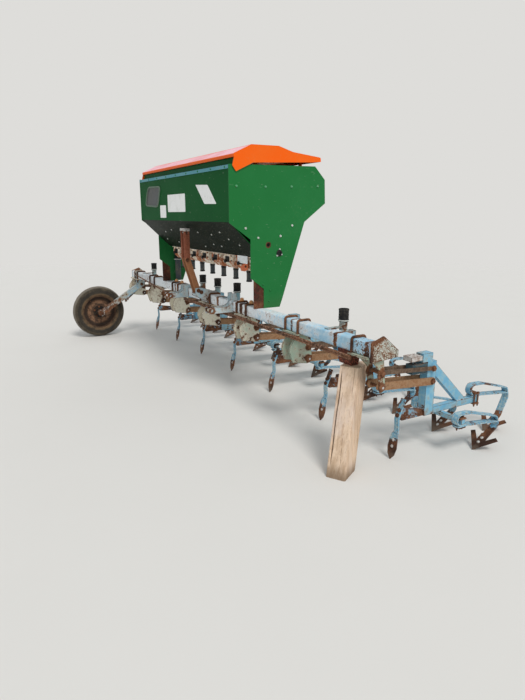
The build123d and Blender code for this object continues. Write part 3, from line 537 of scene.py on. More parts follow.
def weathered_zinc():
    """Plating with dull brown spots."""
    finish = Finish("weathered_zinc")
    spots = finish.noise(60, 4)
    colour = finish.mix(spots.rise(0.5, 0.7), rgb(206, 204, 200), rgb(146, 128, 108))
    return finish.paint(spots, 0.0004, Metallic=0.3, Roughness=0.45 + spots * 0.3, Base_Color=colour)


def oblong(left, low, right, high):
    """The four corners of an upright rectangle."""
    return [(left, low), (right, low), (right, high), (left, high)]


def facing(origin, right, up):
    """Matrix that puts local X along right and local Y along up, at a point."""
    right, up = Vector(right).normalized(), Vector(up).normalized()
    return Matrix.Translation(origin) @ Matrix((right, up, right.cross(up))).transposed().to_4x4()


def rounded(corners, radius, count=4):
    """Outline with its corners rounded off."""
    outline = []
    for k, corner in enumerate(corners):
        corner = Vector(corner)
        before = corner + (Vector(corners[k - 1]) - corner).normalized() * radius
        after = corner + (Vector(corners[(k + 1) % len(corners)]) - corner).normalized() * radius
        for t in (j / count for j in range(count + 1)):
            outline.append(before.lerp(corner, t).lerp(corner.lerp(after, t), t))
    return outline


def plate(mesh, outline, thick, place, soft=0.0):
    """Adds a flat plate of that thickness, its outline in the place's own plane, soft at its edges."""
    low = [mesh.verts.new(place @ Vector((x, y, 0))) for x, y in outline]
    high = [mesh.verts.new(place @ Vector((x, y, thick))) for x, y in outline]
    faces = [mesh.faces.new(low[::-1]), mesh.faces.new(high)]
    for k in range(len(low)):
        n = (k + 1) % len(low)
        faces.append(mesh.faces.new((low[k], low[n], high[n], high[k])))
    if soft:
        edges = list(dict.fromkeys(edge for face in faces for edge in face.edges))
        bmesh.ops.bevel(mesh, geom=edges, offset=soft, segments=2, profile=0.5, affect="EDGES")


bright_steel = weathered_zinc()
cap_mesh = bmesh.new()
cap_top = rounded(oblong(-CAP_HALF, -CAP_DEEP, CAP_HALF, CAP_DEEP), 0.004)
plate(cap_mesh, cap_top, 0.0055, facing(at(MAST_X, MAST_PIN_Y, MAST_TOP), NEAR, BACK), 0.0015)
skirt = rounded(oblong(-CAP_HALF, -0.015, CAP_HALF, 0.0), 0.003)
plate(cap_mesh, skirt, 0.003, facing(at(MAST_X, SKIRT_FRONT, MAST_TOP + 0.5), NEAR, UP), 0.0008)
flap = rounded(oblong(-FLAP_HALF, -FLAP_DEEP, FLAP_HALF, 0.0), 0.003)
for side in (-1, 1):
    flap_at = at(MAST_X + side * FLAP_OUT, MAST_PIN_Y, MAST_TOP + 0.5)
    plate(cap_mesh, flap, 0.003, facing(flap_at, (0, side, 0), UP), 0.0008)
add_piece("bright_mast_cap", cap_mesh, bright_steel, stands_for=["mast_cap"])

# Stay rods, welds and hitch bolts: round rods that brace the lugs along the bar, with nuts
# on their threaded ends, and the bolts through the mast. The rods are reddish rust.
STAY_R, MAST_BOLT_R = 0.0072, 0.0078
# Columns: half the bolt's reach, y, height
MAST_BOLTS = ((FOOT_OUT, -138, 77), (FOOT_OUT, -112, 62), (36, MAST_PIN_Y, 340))
STAY_RODS, STAY_ENDS = ((-70.6, -56.5), (-70.8, -70.8)), ((2044, 1), (-398, -1))
dress(bare_rust("stay_rust", over=rgb(166, 124, 106), share=0.85, dusty=0.25), "stay_rods")
lug_weld_mesh = bmesh.new()


def weld_over_bar(x, low, back):
    """A bead up the front of the bar and over its top edge."""
    weld(lug_weld_mesh, (x, -ON_BAR, low), (x, -ON_BAR, 36), (x, -37, ON_BAR), (x, back, ON_BAR))


for x in LUG_PLATES_X:
    for side in (-LUG_HALF, LUG_HALF):
        weld_over_bar(x + side, LUG_LOW, 2)
for side in (-FOOT_OUT, FOOT_OUT):
    weld_over_bar(MAST_X + side, FOOT_LOW, 38)
add_piece("lug_welds", lug_weld_mesh, rusty_weld)

hitch_bolt_mesh = bmesh.new()
for reach, y, z in MAST_BOLTS:
    for side in (-1, 1):
        face = pointing(at(MAST_X + side * reach, y, z), (side, 0, 0))
        hexagon(hitch_bolt_mesh, face, 0.024, 0.010, 0.003)
        if side < 0:
            thread(hitch_bolt_mesh, face, MAST_BOLT_R, 0.019)
    rod(hitch_bolt_mesh, [at(MAST_X - reach, y, z), at(MAST_X + reach, y, z)], MAST_BOLT_R, 12)
for y, z in STAY_RODS:
    for x, way in STAY_ENDS:
        face = pointing(at(x, y, z), (way, 0, 0))
        hexagon(hitch_bolt_mesh, face, 0.0135, 0.011)
        thread(hitch_bolt_mesh, face, STAY_R, 0.017)
add_piece("hitch_bolts", hitch_bolt_mesh, rusty_steel)

# Hopper: two green side plates that run down as legs, and a bent sheet trough between
# them under a teal rim. The paint is sound, with dust, fine scratches and dull patches,
# and the near plate has rusted through at one place, its hole painted near black as shade.
# The trough's green is darker, partly as painted shade, with painted shade and grime beneath it.
GREEN = rgb(28, 114, 54)
NEAR_FACE, FAR_FACE = 948, -1002
FRONT_FACE, RIM_FACE = -254, -260


def sound_paint(name, coat, dull, dust=0.3, gloss=0.36, splashed=False, under=False, hole=None):
    """Paint that has held, with dull patches and fine scratches. hole: its y, height and radius; the hole is
    painted near black inside as shade. under: painted shade with some grime beneath the front half.
    """
    finish = Finish(name, shine=0.06 if under else 0.2)
    y, z = finish.axes()[1:]
    broad = finish.noise(2.6, 4, 0.55, shift=4.0)
    fine = finish.noise(55, 5, 0.6, shift=8.0)
    scratch = finish.noise(18, 4, 0.5, stretch=(1, 1, 9), shift=2.0).rise(0.68, 0.74)
    across = finish.noise(16, 4, 0.5, stretch=(6, 6, 1), shift=6.0).rise(0.7, 0.76)
    colour = finish.mix(broad.rise(0.35, 0.7) * 0.55, coat, dull)
    colour = finish.mix((fine * 0.5 + broad * 0.5).rise(0.52, 0.72) * dust, colour, rgb(150, 146, 120))
    colour = finish.mix(scratch.most(across) * 0.3, colour, rgb(196, 204, 188))
    if splashed:
        splash = (z + fine * 0.16).rise(BAR_Z + 0.24, BAR_Z + 0.12)
        colour = finish.mix(splash * 0.18, colour, rgb(84, 98, 66))
    nick = (fine * 0.7 + broad * 0.3 + finish.edges(0.006) * 0.12).rise(0.68, 0.70)
    if hole is not None:
        hole_at, radius = at(0, hole[0], hole[1]), hole[2] / 1000
        away = span(y - hole_at.y, z - hole_at.z) + fine * 0.016 - 0.008
        nick = nick.most(away.rise(radius * 1.9, radius * 1.5))
    colour = finish.mix(nick, colour, rust_colour(finish, fine))
    if hole is not None:
        # Painted shade: the hole is painted near black inside where the plate has rusted through.
        hole_shade = away.rise(radius * 1.02, radius * 0.95)
        colour = finish.mix(hole_shade, colour, rgb(20, 16, 14))
        nick = nick + hole_shade * 2
    # Painted shade with some grime: faces looking down at the front are painted near black, with brown and
    # pale specks.
    if under:
        shaded_underside = finish.axes(finish.node("TexCoord", output="Normal"))[2].rise(-0.25, -0.45)
        shaded_underside = shaded_underside * y.rise(BAR_Y + 0.20, BAR_Y + 0.10)
        shade_and_grime = finish.mix(fine.rise(0.45, 0.65) * 0.3, rgb(12, 22, 18), rgb(58, 50, 38))
        spots = finish.noise(90, 4, 0.6, shift=1.0).rise(0.62, 0.66)
        shade_and_grime = finish.mix(spots * 0.6, shade_and_grime, rgb(150, 150, 136))
        colour = finish.mix(shaded_underside * 0.96, colour, shade_and_grime)
    height = fine * 0.5 + broad * 0.5 - nick
    rough = gloss + broad * 0.25 + nick * 0.2
    return finish.paint(height, 0.0005, soft=0.0012, Base_Color=colour, Roughness=rough)


def front_plate(mesh, corners, thick, face, radius=0.01, soft=0.0):
    """Adds a plate on a face that looks to the front. Corners are (x, z) in metres from the bar's middle."""
    plate(mesh, rounded(corners, radius), thick, facing(at(0, face, 0), NEAR, UP), soft)


dress(sound_paint("green_paint", GREEN, rgb(36, 122, 64), dust=0.06, splashed=True, hole=(54, 499, 13)),
      "hopper_near_side")
dress(sound_paint("far_green_paint", rgb(32, 116, 58), rgb(40, 116, 64), dust=0.1, splashed=True),
      "hopper_far_side")
# The trough's coat is a darker green than the side plates', partly its own tone and partly painted shade on
# the front panel.
dress(sound_paint("dark_green_paint", rgb(4, 85, 34), rgb(14, 80, 38), dust=0.03, under=True),
      "hopper_trough")
dress(sound_paint("teal_paint", rgb(88, 152, 166), rgb(120, 172, 180), dust=0.3, gloss=0.5), "hopper_rim")
dress(bare_rust("bracket_red", over=rgb(96, 40, 30), share=0.85), "leg_brackets")

# Blank stickers on the front of the hopper: bleached vinyl, stuck flat on the paint. Two
# are upright and one leans.
STICKERS = (((-0.250, 0.732), (-0.250, 0.875), (0.150, 0.875), (0.150, 0.732)),
            ((0.372, 0.931), (0.594, 0.921), (0.740, 0.785), (0.531, 0.788)),
            ((-0.450, 0.683), (-0.450, 0.790), (-0.300, 0.790), (-0.300, 0.683)))


def bleached_vinyl():
    """White vinyl with faint grey patches."""
    finish = Finish("bleached_vinyl")
    fine = finish.noise(90, 4, 0.6)
    broad = finish.noise(12, 3, 0.5)
    patches = (fine * 0.5 + broad * 0.5).rise(0.5, 0.68)
    colour = finish.mix(patches * 0.4, rgb(254, 254, 252), rgb(206, 210, 200))
    return finish.paint(broad, 0.0002, Roughness=0.42 + fine * 0.2, Base_Color=colour)


label_mesh = bmesh.new()
for corners in STICKERS:
    front_plate(label_mesh, corners, 0.0005, FRONT_FACE)
add_piece("blank_stickers", label_mesh, bleached_vinyl())

# Sight window: a grey pane in a bleached rubber surround that shows how full the hopper is.
# The surround is pressed round a slanted opening at the far end of the front panel.
WINDOW = ((-0.753, 0.955), (-0.418, 0.950), (-0.498, 0.779), (-0.843, 0.793))


def dull_plastic(name, tone, dust, share=0.35, rough=0.55):
    """Moulded plastic or rubber with dust in its hollows."""
    finish = Finish(name)
    fine = finish.noise(70, 5, 0.6)
    broad = finish.noise(9, 4, 0.6, shift=3.0)
    colour = finish.mix((fine * 0.5 + broad * 0.5).rise(0.45, 0.68) * share, tone, dust)
    return finish.paint(fine, 0.0005, Base_Color=colour, Roughness=rough + broad * 0.3)


black_rubber = dull_plastic("black_rubber", rgb(30, 31, 32), rgb(112, 102, 86))
pane_mesh = bmesh.new()
front_plate(pane_mesh, WINDOW, 0.002, FRONT_FACE, 0.05)
add_piece("sight_pane", pane_mesh, dull_plastic("grey_pane", rgb(74, 76, 74), rgb(112, 108, 96), 0.5, 0.25))
seal_mesh = bmesh.new()
seal_line = [at(x * 1000, FRONT_FACE - 3, z * 1000) for x, z in rounded(WINDOW, 0.05, 8)]
rod(seal_mesh, seal_line + seal_line[:1], 0.008, 10)
bleached_seal = dull_plastic("bleached_seal", rgb(98, 116, 102), rgb(140, 144, 126), 0.5)
add_piece("sight_window_seal", seal_mesh, bleached_seal)

# Hopper fasteners: zinc-plated hexagon bolts through the side plates, round heads along
# the rim, and rivets through the sloping floor of the trough.
HOPPER_X, SIDES = -27, ((NEAR_FACE, 1), (FAR_FACE, -1))
# Columns: y, height, width across the hexagon
SIDE_BOLTS = ((-131, 618, 12), (256, 634, 12), (-30, 551, 11), (156, 560, 12), (128, 420, 9), (166, 428, 9),
              (150, 466, 9))
PAINTED_BOLTS = ((-200, 900, 12), (29, 900, 12), (246, 906, 12), (475, 914, 12))
# Columns: y, height
LEG_RIVETS = ((60, 90), (70, 170), (10, 215))
# Columns: x, y
FLOOR_RIVETS = ((616, -172), (658, -117), (413, -146), (170, -158), (385, -46), (751, -74), (27, -26),
                (257, -56), (-180, -150), (-420, -165), (-640, -140), (-820, -60), (-560, -40), (-300, -70))
RIM_RIVETS, RIM_RIVET_PITCH, RIM_RIVET_Z = 9, 230, 1024
# Where the trough's sloping floor starts at the front and ends at the back, y and height
FLOOR_FRONT, FLOOR_BACK = (-252, 660), (25, 400)


def bright_zinc():
    """Plated fasteners, hardly dulled."""
    finish = Finish("bright_zinc")
    fine = finish.noise(160, 3, 0.5)
    colour = finish.mix(fine.rise(0.5, 0.7), rgb(214, 218, 212), rgb(160, 156, 146))
    return finish.paint(fine, 0.0002, Metallic=0.25, Roughness=0.42 + fine * 0.25, Base_Color=colour)


def bolt_sides(name, table, material):
    """Bolts on the outside of both side plates."""
    mesh = bmesh.new()
    for y, z, across in table:
        for face, way in SIDES:
            hexagon(mesh, pointing(at(face, y, z), (way, 0, 0)), across / 1000, 0.006, 0.0015)
    add_piece(name, mesh, material)


zinc = bright_zinc()
bolt_green = sound_paint("bolt_green", rgb(92, 164, 118), rgb(120, 176, 136), dust=0.3)
bolt_sides("side_bolts", SIDE_BOLTS, zinc)
bolt_sides("painted_side_bolts", PAINTED_BOLTS, bolt_green)

floor_slope = (FLOOR_FRONT[1] - FLOOR_BACK[1]) / (FLOOR_BACK[0] - FLOOR_FRONT[0])
floor_way = Vector((0, -floor_slope, -1)).normalized()
rivet_mesh = bmesh.new()
for x, y in FLOOR_RIVETS:
    on_floor = at(x, y, FLOOR_FRONT[1] - (y - FLOOR_FRONT[0]) * floor_slope) + floor_way * 0.002
    lathe(rivet_mesh, [(0, 0), (0.0075, 0), (0.007, 0.0028), (0.004, 0.005), (0, 0.0055)], 14,
          pointing(on_floor, floor_way))
add_piece("floor_rivets", rivet_mesh, zinc)

rim_mesh = bmesh.new()
for k in range(RIM_RIVETS):
    x = HOPPER_X + RIM_RIVET_PITCH * (k - (RIM_RIVETS - 1) / 2)
    lathe(rim_mesh, [(0, 0), (0.007, 0), (0.0065, 0.0025), (0.004, 0.0045), (0, 0.005)], 12,
          pointing(at(x, RIM_FACE, RIM_RIVET_Z), FRONT))
for face, way in SIDES:
    for y, z in LEG_RIVETS:
        lathe(rim_mesh, [(0, 0), (0.008, 0), (0.0075, 0.003), (0.0045, 0.005), (0, 0.0055)], 12,
              pointing(at(face, y, z), (way, 0, 0)))
rivet_green = sound_paint("rivet_green", GREEN, rgb(50, 124, 76), dust=0.3)
add_piece("rim_rivets", rim_mesh, rivet_green)

# Shaft bearing: a black moulded flange bolted on the outside of each side plate, with a
# recess where a stub shaft once ran.
BEARING_Y, BEARING_Z = 147, 438
bearing_mesh = bmesh.new()
for face, way in SIDES:
    lathe(bearing_mesh, [(0, 0), (0.024, 0), (0.024, 0.003), (0.019, 0.005), (0.017, 0.009),
                         (0.0125, 0.009), (0.012, 0.003), (0, 0.003)], 28,
          pointing(at(face, BEARING_Y, BEARING_Z), (way, 0, 0)))
add_piece("shaft_bearings", bearing_mesh, black_rubber)

# Orange lid: bent sheet with closed ends, on three hinges along the back of the hopper.
# The sun has bleached its front slope to pink, and the top and ends are still orange.
HINGE_SPREAD = 725
LEAF_TOP, LEAF_LOW = at(0, 446, 1046), at(0, 530, 957)
LID_BACK, LID_BOLT_Z = 494, 1094


def orange_paint():
    """Orange paint that is pink where it faces up at the front."""
    finish = Finish("orange_paint", shine=0.15)
    facing_up = finish.axes(finish.node("TexCoord", output="Normal"))[2].rise(0.45, 0.7)
    broad = finish.noise(3.0, 4, 0.55)
    fine = finish.noise(48, 5, 0.6, shift=3.0)
    front = (finish.axes()[1] + broad * 0.03).rise(BAR_Y - 0.06, BAR_Y - 0.10) * facing_up
    colour = finish.mix(broad.rise(0.4, 0.7) * 0.4, rgb(255, 102, 12), rgb(246, 116, 36))
    colour = finish.mix(fine.rise(0.55, 0.75) * 0.25, colour, rgb(228, 140, 84))
    pink = finish.mix(broad.rise(0.4, 0.65), rgb(252, 202, 214), rgb(244, 180, 186))
    colour = finish.mix(front, colour, pink)
    worn = (finish.edges(0.006) * 0.3 + fine * 0.6).rise(0.52, 0.6)
    colour = finish.mix(worn * 0.45, colour, rgb(206, 128, 84))
    return finish.paint(broad * 0.6 + fine * 0.4, 0.0012, Base_Color=colour, Roughness=0.42 + front * 0.22)


dress(orange_paint(), "hopper_lid")
dress(sound_paint("hinge_green", GREEN, rgb(60, 96, 60), dust=0.4), "lid_hinges")
hinge_mesh = bmesh.new()
lid_bolt_mesh = bmesh.new()
leaf_line = (LEAF_LOW - LEAF_TOP).normalized()
leaf_way = Vector((0, -leaf_line.z, leaf_line.y)).normalized()
for x in (HOPPER_X - HINGE_SPREAD, HOPPER_X, HOPPER_X + HINGE_SPREAD):
    for side in (-35, 35):
        for along in (0.055, 0.085):
            on_leaf = LEAF_TOP + Vector(((x + side) / 1000, 0, 0)) + leaf_line * along + leaf_way * 0.008
            hexagon(hinge_mesh, pointing(on_leaf, leaf_way), 0.011, 0.004, 0.001)
    for side in (-9, 9):
        hexagon(lid_bolt_mesh, pointing(at(x + side, LID_BACK, LID_BOLT_Z), BACK), 0.010, 0.004, 0.001)
add_piece("hinge_bolts", hinge_mesh, zinc)
add_piece("lid_hinge_bolts", lid_bolt_mesh, zinc, body="lid")

# Metering: a row of cream plastic boxes under the trough, each with a black shutter, on
# one cross shaft. A moulded flange with four screws holds each box to the floor of the
# trough, and rust has run down over them.
METER_FRONT, METER_RIB_LOW, METER_TOP, SHUTTER_FACE = 35, 333, 398, 27
METER_XS = [-839 + 232 * k for k in range(8)]
FLANGE_HALF, FLANGE_FRONT, FLANGE_BACK = 92, 22, 198
RIB_IN, RIB_OUT, SCREW_OUT, GRIP_HALF = 48, 56, 70, 24


def cream_plastic():
    """Cream plastic under dust, with rust run down over it."""
    finish = Finish("dusty_cream_plastic")
    fine = finish.noise(60, 5, 0.6)
    broad = finish.noise(11, 5, 0.62, shift=2.0)
    colour = finish.mix(fine.rise(0.42, 0.66), rgb(250, 243, 228), rgb(214, 182, 144))
    rust = broad + fine * 0.2 + finish.axes()[2].rise(BAR_Z + 0.40, BAR_Z + 0.30) * 0.06
    colour = finish.mix(rust.rise(0.61, 0.70) * 0.9, colour, rgb(182, 100, 52))
    return finish.paint(fine, 0.0008, Base_Color=colour, Roughness=0.6 + fine * 0.3)


def metres(outline):
    """An outline in metres from one in millimetres."""
    return [(p.x / 1000, p.y / 1000) for p in outline]


cream = cream_plastic()
black_plastic = dull_plastic("black_plastic", rgb(27, 28, 30), rgb(104, 94, 80), 0.3, 0.45)
dress(cream, "meter_boxes")
dress(black_plastic, "meter_shutters")
dress(rusty_steel, "meter_shaft")
flange_mesh = bmesh.new()
screw_mesh = bmesh.new()
knob_mesh = bmesh.new()
on_top = facing(at(0, 0, METER_TOP - 5.5), NEAR, BACK)
on_front = facing(at(0, METER_FRONT, 0), NEAR, UP)
on_shutter = facing(at(0, SHUTTER_FACE, 0), NEAR, UP)
for x in METER_XS:
    flange = rounded(oblong(x - FLANGE_HALF, FLANGE_FRONT, x + FLANGE_HALF, FLANGE_BACK), 12)
    plate(flange_mesh, metres(flange), 0.005, on_top, 0.0012)
    for side in (-1, 1):
        rib = oblong(x + side * RIB_IN, METER_RIB_LOW, x + side * RIB_OUT, METER_TOP - 6)[::side]
        plate(flange_mesh, metres(rounded(rib, 3)), 0.006, on_front, 0.001)
        for z in (346, 384):
            screw = pointing(at(x + side * SCREW_OUT, METER_FRONT, z), FRONT)
            hexagon(screw_mesh, screw, 0.010, 0.004, 0.0015)
    lathe(knob_mesh, [(0, 0), (0.008, 0), (0.0075, 0.004), (0.011, 0.007), (0.0145, 0.011), (0.0145, 0.020),
                      (0.011, 0.023), (0, 0.024)], 18, pointing(at(x, SHUTTER_FACE, 340), FRONT))
    for z in (352, 361, 370):
        grip = rounded(oblong(x - GRIP_HALF, z - 2, x + GRIP_HALF, z + 2), 1.5, 2)
        plate(knob_mesh, metres(grip), 0.003, on_shutter)
add_piece("meter_flanges", flange_mesh, cream)
add_piece("meter_screws", screw_mesh, rusty_steel)
add_piece("shutter_knobs", knob_mesh, black_plastic)

# Cover and lever at the near end of the row: a white cover plate over one box, and the
# orange-red setting lever that hangs below it on a bolt.
COVER = ((0.524, 0.343), (0.524, 0.417), (0.689, 0.417), (0.689, 0.343))
LEVER = ((0.573, 0.282), (0.573, 0.318), (0.640, 0.345), (0.688, 0.345), (0.688, 0.300), (0.640, 0.282))
cover_mesh = bmesh.new()
front_plate(cover_mesh, COVER, 0.003, SHUTTER_FACE - 3, 0.008, 0.0008)
white_cover = dull_plastic("white_cover", rgb(244, 250, 252), rgb(200, 178, 152), 0.35, 0.5)
add_piece("meter_cover", cover_mesh, white_cover)
lever_mesh = bmesh.new()
front_plate(lever_mesh, LEVER, 0.004, SHUTTER_FACE, 0.010, 0.001)
lever_red = chipped_paint("lever_red", rgb(214, 98, 50), rgb(220, 134, 92), bare=0.45)
add_piece("setting_lever", lever_mesh, lever_red)
lever_bolt_mesh = bmesh.new()
hexagon(lever_bolt_mesh, pointing(at(660, SHUTTER_FACE - 4, 322), FRONT), 0.014, 0.006, 0.002)
add_piece("lever_bolt", lever_bolt_mesh, rusty_steel)

# Tubes: short grey outlets under the boxes, and one long grey pipe at the far side. The
# outlets are thin plastic with two beads round them.
dress(dull_plastic("grey_tube", rgb(70, 78, 82), rgb(140, 126, 104), 0.55), "drop_tubes")
OUTLET_Y = 110
BEAD = ((0.0212, 0), (0.0238, 0.002), (0.0242, 0.006), (0.0238, 0.010), (0.0212, 0.012))
tube_mesh = bmesh.new()
for x in METER_XS:
    for z in (188, 262):
        lathe(tube_mesh, BEAD, 24, pointing(at(x, OUTLET_Y, z), UP))
add_piece("outlet_beads", tube_mesh, black_rubber)

# Tube holders: a flat welded across the top of the toolbar with a socket at its end. A
# black rubber boot, ribbed and clamped, is pushed over each socket.
HOLDERS_X = (1775, 355, -24.85, -355, -1065, -1775)
SOCKET_Y, SIDE_PIPE_X, SIDE_PIPE_Y = 102, -960.7, 90
dress(chipped_paint("holder_paint", rgb(128, 172, 186), rgb(182, 200, 196), bare=0.6, worn=1.0),
      "tube_holders")
boot_mesh = bmesh.new()
band_mesh = bmesh.new()


def boot(x, y, inner, outer, low, high):
    """A boot between two heights: a smooth cuff at each end and soft ribs between."""
    profile = [(inner, low), (outer - 1.2, low), (outer, low + 1.5), (outer, low + 14)]
    ribs = round((high - low - 30) / 8)
    for k in range(ribs):
        z = low + 17 + (high - low - 32) * k / ribs
        profile += [(outer - 3.5, z), (outer - 3.2, z + 1.5), (outer - 0.2, z + 3.5), (outer - 0.2, z + 5.0)]
    profile += [(outer - 3, high - 13), (outer, high - 11), (outer, high - 1.5), (outer - 1.2, high),
                (inner, high), (inner, low)]
    upright = pointing(at(x, y, 0), UP)
    lathe(boot_mesh, [(radius / 1000, z / 1000) for radius, z in profile], 28, upright)
    band = oblong(outer - 0.3, low + 4, outer + 0.9, low + 11)
    lathe(band_mesh, [(radius / 1000, z / 1000) for radius, z in band], 28, upright)
    hexagon(band_mesh, pointing(at(x, y - outer - 0.5, low + 7.5), FRONT), 0.007, 0.005)


for x in HOLDERS_X:
    boot(x, SOCKET_Y, 25.3, 32.3, 78, 156)
boot(SIDE_PIPE_X, SIDE_PIPE_Y, 29.3, 36.3, 256, 320)
add_piece("ribbed_boots", boot_mesh, black_rubber, stands_for=["tube_boots"],
          crease=0.9)
add_piece("boot_clamps", band_mesh, zinc)
holder_weld_mesh = bmesh.new()
for x in HOLDERS_X:
    for side in (-17, 17):
        weld(holder_weld_mesh, (x + side, -26, ON_BAR), (x + side, 34, ON_BAR))
        weld(holder_weld_mesh, (x + side, 79, 44), (x + side, 84, 44))
add_piece("holder_welds", holder_weld_mesh, rusty_weld)

# Row gangs: each hangs on two pairs of flat arms behind a bracket, and carries a welded
# frame with a front tine, three spring tines and their shares. The light blue paint is
# faded and chipped, the arms are bare, and the shares are worn to steel by the soil.
GANGS_X = [GANG_PITCH * steps for steps in range(3, -4, -1)]
PIVOT_Y, PIVOT_TOP, PIVOT_LOW = 62, -146, -226
LAST_GANG = 7


def gang_paint():
    """Light blue paint, with a dark seized block at the post's front and a whitish cap over it."""
    finish = Finish("light_blue_paint")
    y, z = finish.axes()[1:]
    y, z = y - BAR_Y, z - BAR_Z
    broad = finish.noise(4.5, 4, 0.6)
    chips = finish.noise(30, 6, 0.62, shift=1.3)
    specks = finish.noise(150, 3, 0.5, shift=7.1)
    wear = broad * 0.4 + chips * 0.45 + specks * 0.15 + finish.edges(0.007) * 0.24
    wear = wear + z.rise(-0.40, -0.47) * 0.03
    wear = wear + z.rise(-0.15, -0.09) * 0.03
    seat = y.rise(0.4460, 0.4425) * z.rise(-0.404, -0.412)
    wear = wear + seat * 0.12
    off = wear.rise(0.585, 0.61)
    stain = wear.rise(0.50, 0.60)
    coat = finish.mix((chips * 0.5 + broad * 0.6).rise(0.4, 0.7), rgb(110, 174, 206), rgb(166, 198, 202))
    cap = y.rise(0.392, 0.386) * z.rise(-0.122, -0.118)
    coat = finish.mix(cap, coat, rgb(206, 204, 200))
    block = y.rise(0.445, 0.4425) * z.rise(-0.2035, -0.2025) * z.rise(-0.139, -0.1405) * y.rise(0.31, 0.315)
    coat = finish.mix(block * 0.85, coat, rgb(34, 52, 54))
    colour = finish.mix(stain * 0.5, coat, rgb(138, 100, 74))
    colour = finish.mix(off, colour, rust_colour(finish, specks))
    height = (1 - off) * 0.6 + specks * off * 0.5 + chips * 0.15
    return finish.paint(height, 0.0006, soft=0.0025, Base_Color=colour, Roughness=0.5 + off * 0.38)


def tine_paint():
    """Blue paint that the soil has rubbed off from the shares upward."""
    finish = Finish("worn_tine_paint")
    y, z = finish.axes()[1:]
    broad = finish.noise(12, 4, 0.6)
    chips = finish.noise(60, 5, 0.62, shift=1.3)
    grain = finish.noise(220, 3, 0.6, shift=5.0)
    wear = broad * 0.45 + chips * 0.4 + finish.edges(0.006) * 0.18 + z.rise(0.16, 0.04) * 0.3
    wear = wear + z.rise(0.26, 0.34) * y.rise(BAR_Y + 0.36, BAR_Y + 0.31) * 0.12
    wear = wear + z.rise(0.312, 0.322) * y.rise(BAR_Y + 0.82, BAR_Y + 0.85) * 0.07
    off = wear.rise(0.5, 0.53)
    coat = finish.mix(chips.rise(0.4, 0.66), rgb(112, 168, 196), rgb(184, 202, 202))
    colour = finish.mix(off, coat, rust_colour(finish, grain))
    polish = z.rise(0.07, 0.01) * broad.rise(0.35, 0.6)
    colour = finish.mix(polish * 0.7, colour, rgb(132, 118, 104))
    rough = 0.55 + off * 0.3 - polish * 0.25
    return finish.paint((1 - off) * 0.5 + grain * off * 0.5, 0.0006, soft=0.0012, Base_Color=colour,
                        Roughness=rough, Metallic=polish * 0.5)


def bracket_marks(finish):
    """The ears of the brackets have rusted round their pivots."""
    y, z = finish.axes()[1:]
    top, low = at(0, PIVOT_Y, PIVOT_TOP), at(0, PIVOT_Y, PIVOT_LOW)
    near_top = span(y - top.y, z - top.z).rise(0.040, 0.018)
    near_low = span(y - low.y, z - low.z).rise(0.040, 0.018)
    return near_top.most(near_low) * 0.12


def bracket_fade_and_shade(finish):
    """The brackets are greyest at the near end, partly as painted shade, and nearly cream at the far end."""
    return finish.axes()[0].rise(1.9, -0.4) * 0.3 - 0.12


def saddle_paint():
    """Blue paint on the far side of the post's saddle, and red rust on its near side."""
    finish = Finish("saddle_paint")
    grain = finish.noise(120, 4, 0.6)
    scale = finish.noise(30, 5, 0.6, shift=3.0)
    bare = (scale + finish.axes()[0].rise(1.905, 1.93) * 0.3).rise(0.6, 0.64)
    coat = finish.mix(grain.rise(0.4, 0.62), rgb(86, 150, 190), rgb(132, 176, 196))
    rust = finish.mix(grain.rise(0.38, 0.56), rgb(150, 82, 62), rgb(74, 46, 38))
    return finish.paint(grain, 0.0007, Base_Color=finish.mix(bare, coat, rust), Roughness=0.85)


def arm_rust(name, tone, dusty_tone, share):
    """Old paint and rust worn into one dry brown skin."""
    finish = Finish(name)
    grain = finish.noise(160, 4, 0.6, shift=2.2)
    scale = finish.noise(30, 5, 0.6, shift=9.4)
    colour = finish.mix((grain * 0.4 + scale * 0.6).rise(0.4, 0.6), tone, dusty_tone)
    colour = finish.mix(scale.rise(0.55, 0.63) * share, colour, rust_colour(finish, grain))
    return finish.paint(grain * 0.4 + scale * 0.6, 0.0008, soft=0.0012, Base_Color=colour, Roughness=0.85)


dress(gang_paint(), *(f"gang_{number}_frame" for number in range(1, LAST_GANG + 1)))
dress(tine_paint(), *(f"gang_{number}_tines" for number in range(1, LAST_GANG + 1)))
dress(chipped_paint("bracket_paint", rgb(160, 178, 160), rgb(232, 226, 206), bare=0.62, worn=1.0, gloss=0.6,
                    streak=0.5, marks=bracket_marks, fade_and_shade=bracket_fade_and_shade), "gang_brackets")
dress(saddle_paint(), "post_saddle")
dress(arm_rust("lower_arm_tan", rgb(144, 104, 72), rgb(168, 134, 102), 0.45), "lower_arms")
dress(arm_rust("upper_arm_dark", rgb(84, 66, 54), rgb(124, 104, 86), 0.6), "upper_arms")

# Pivot bolts: each pair of arms turns on two of them, with a hexagon head, a nut and thick
# washers. They have rusted solid, and only the lower front ones show bright ends.
REAR_PIVOT_Y, ARM_FALL = 480.7, 32.95
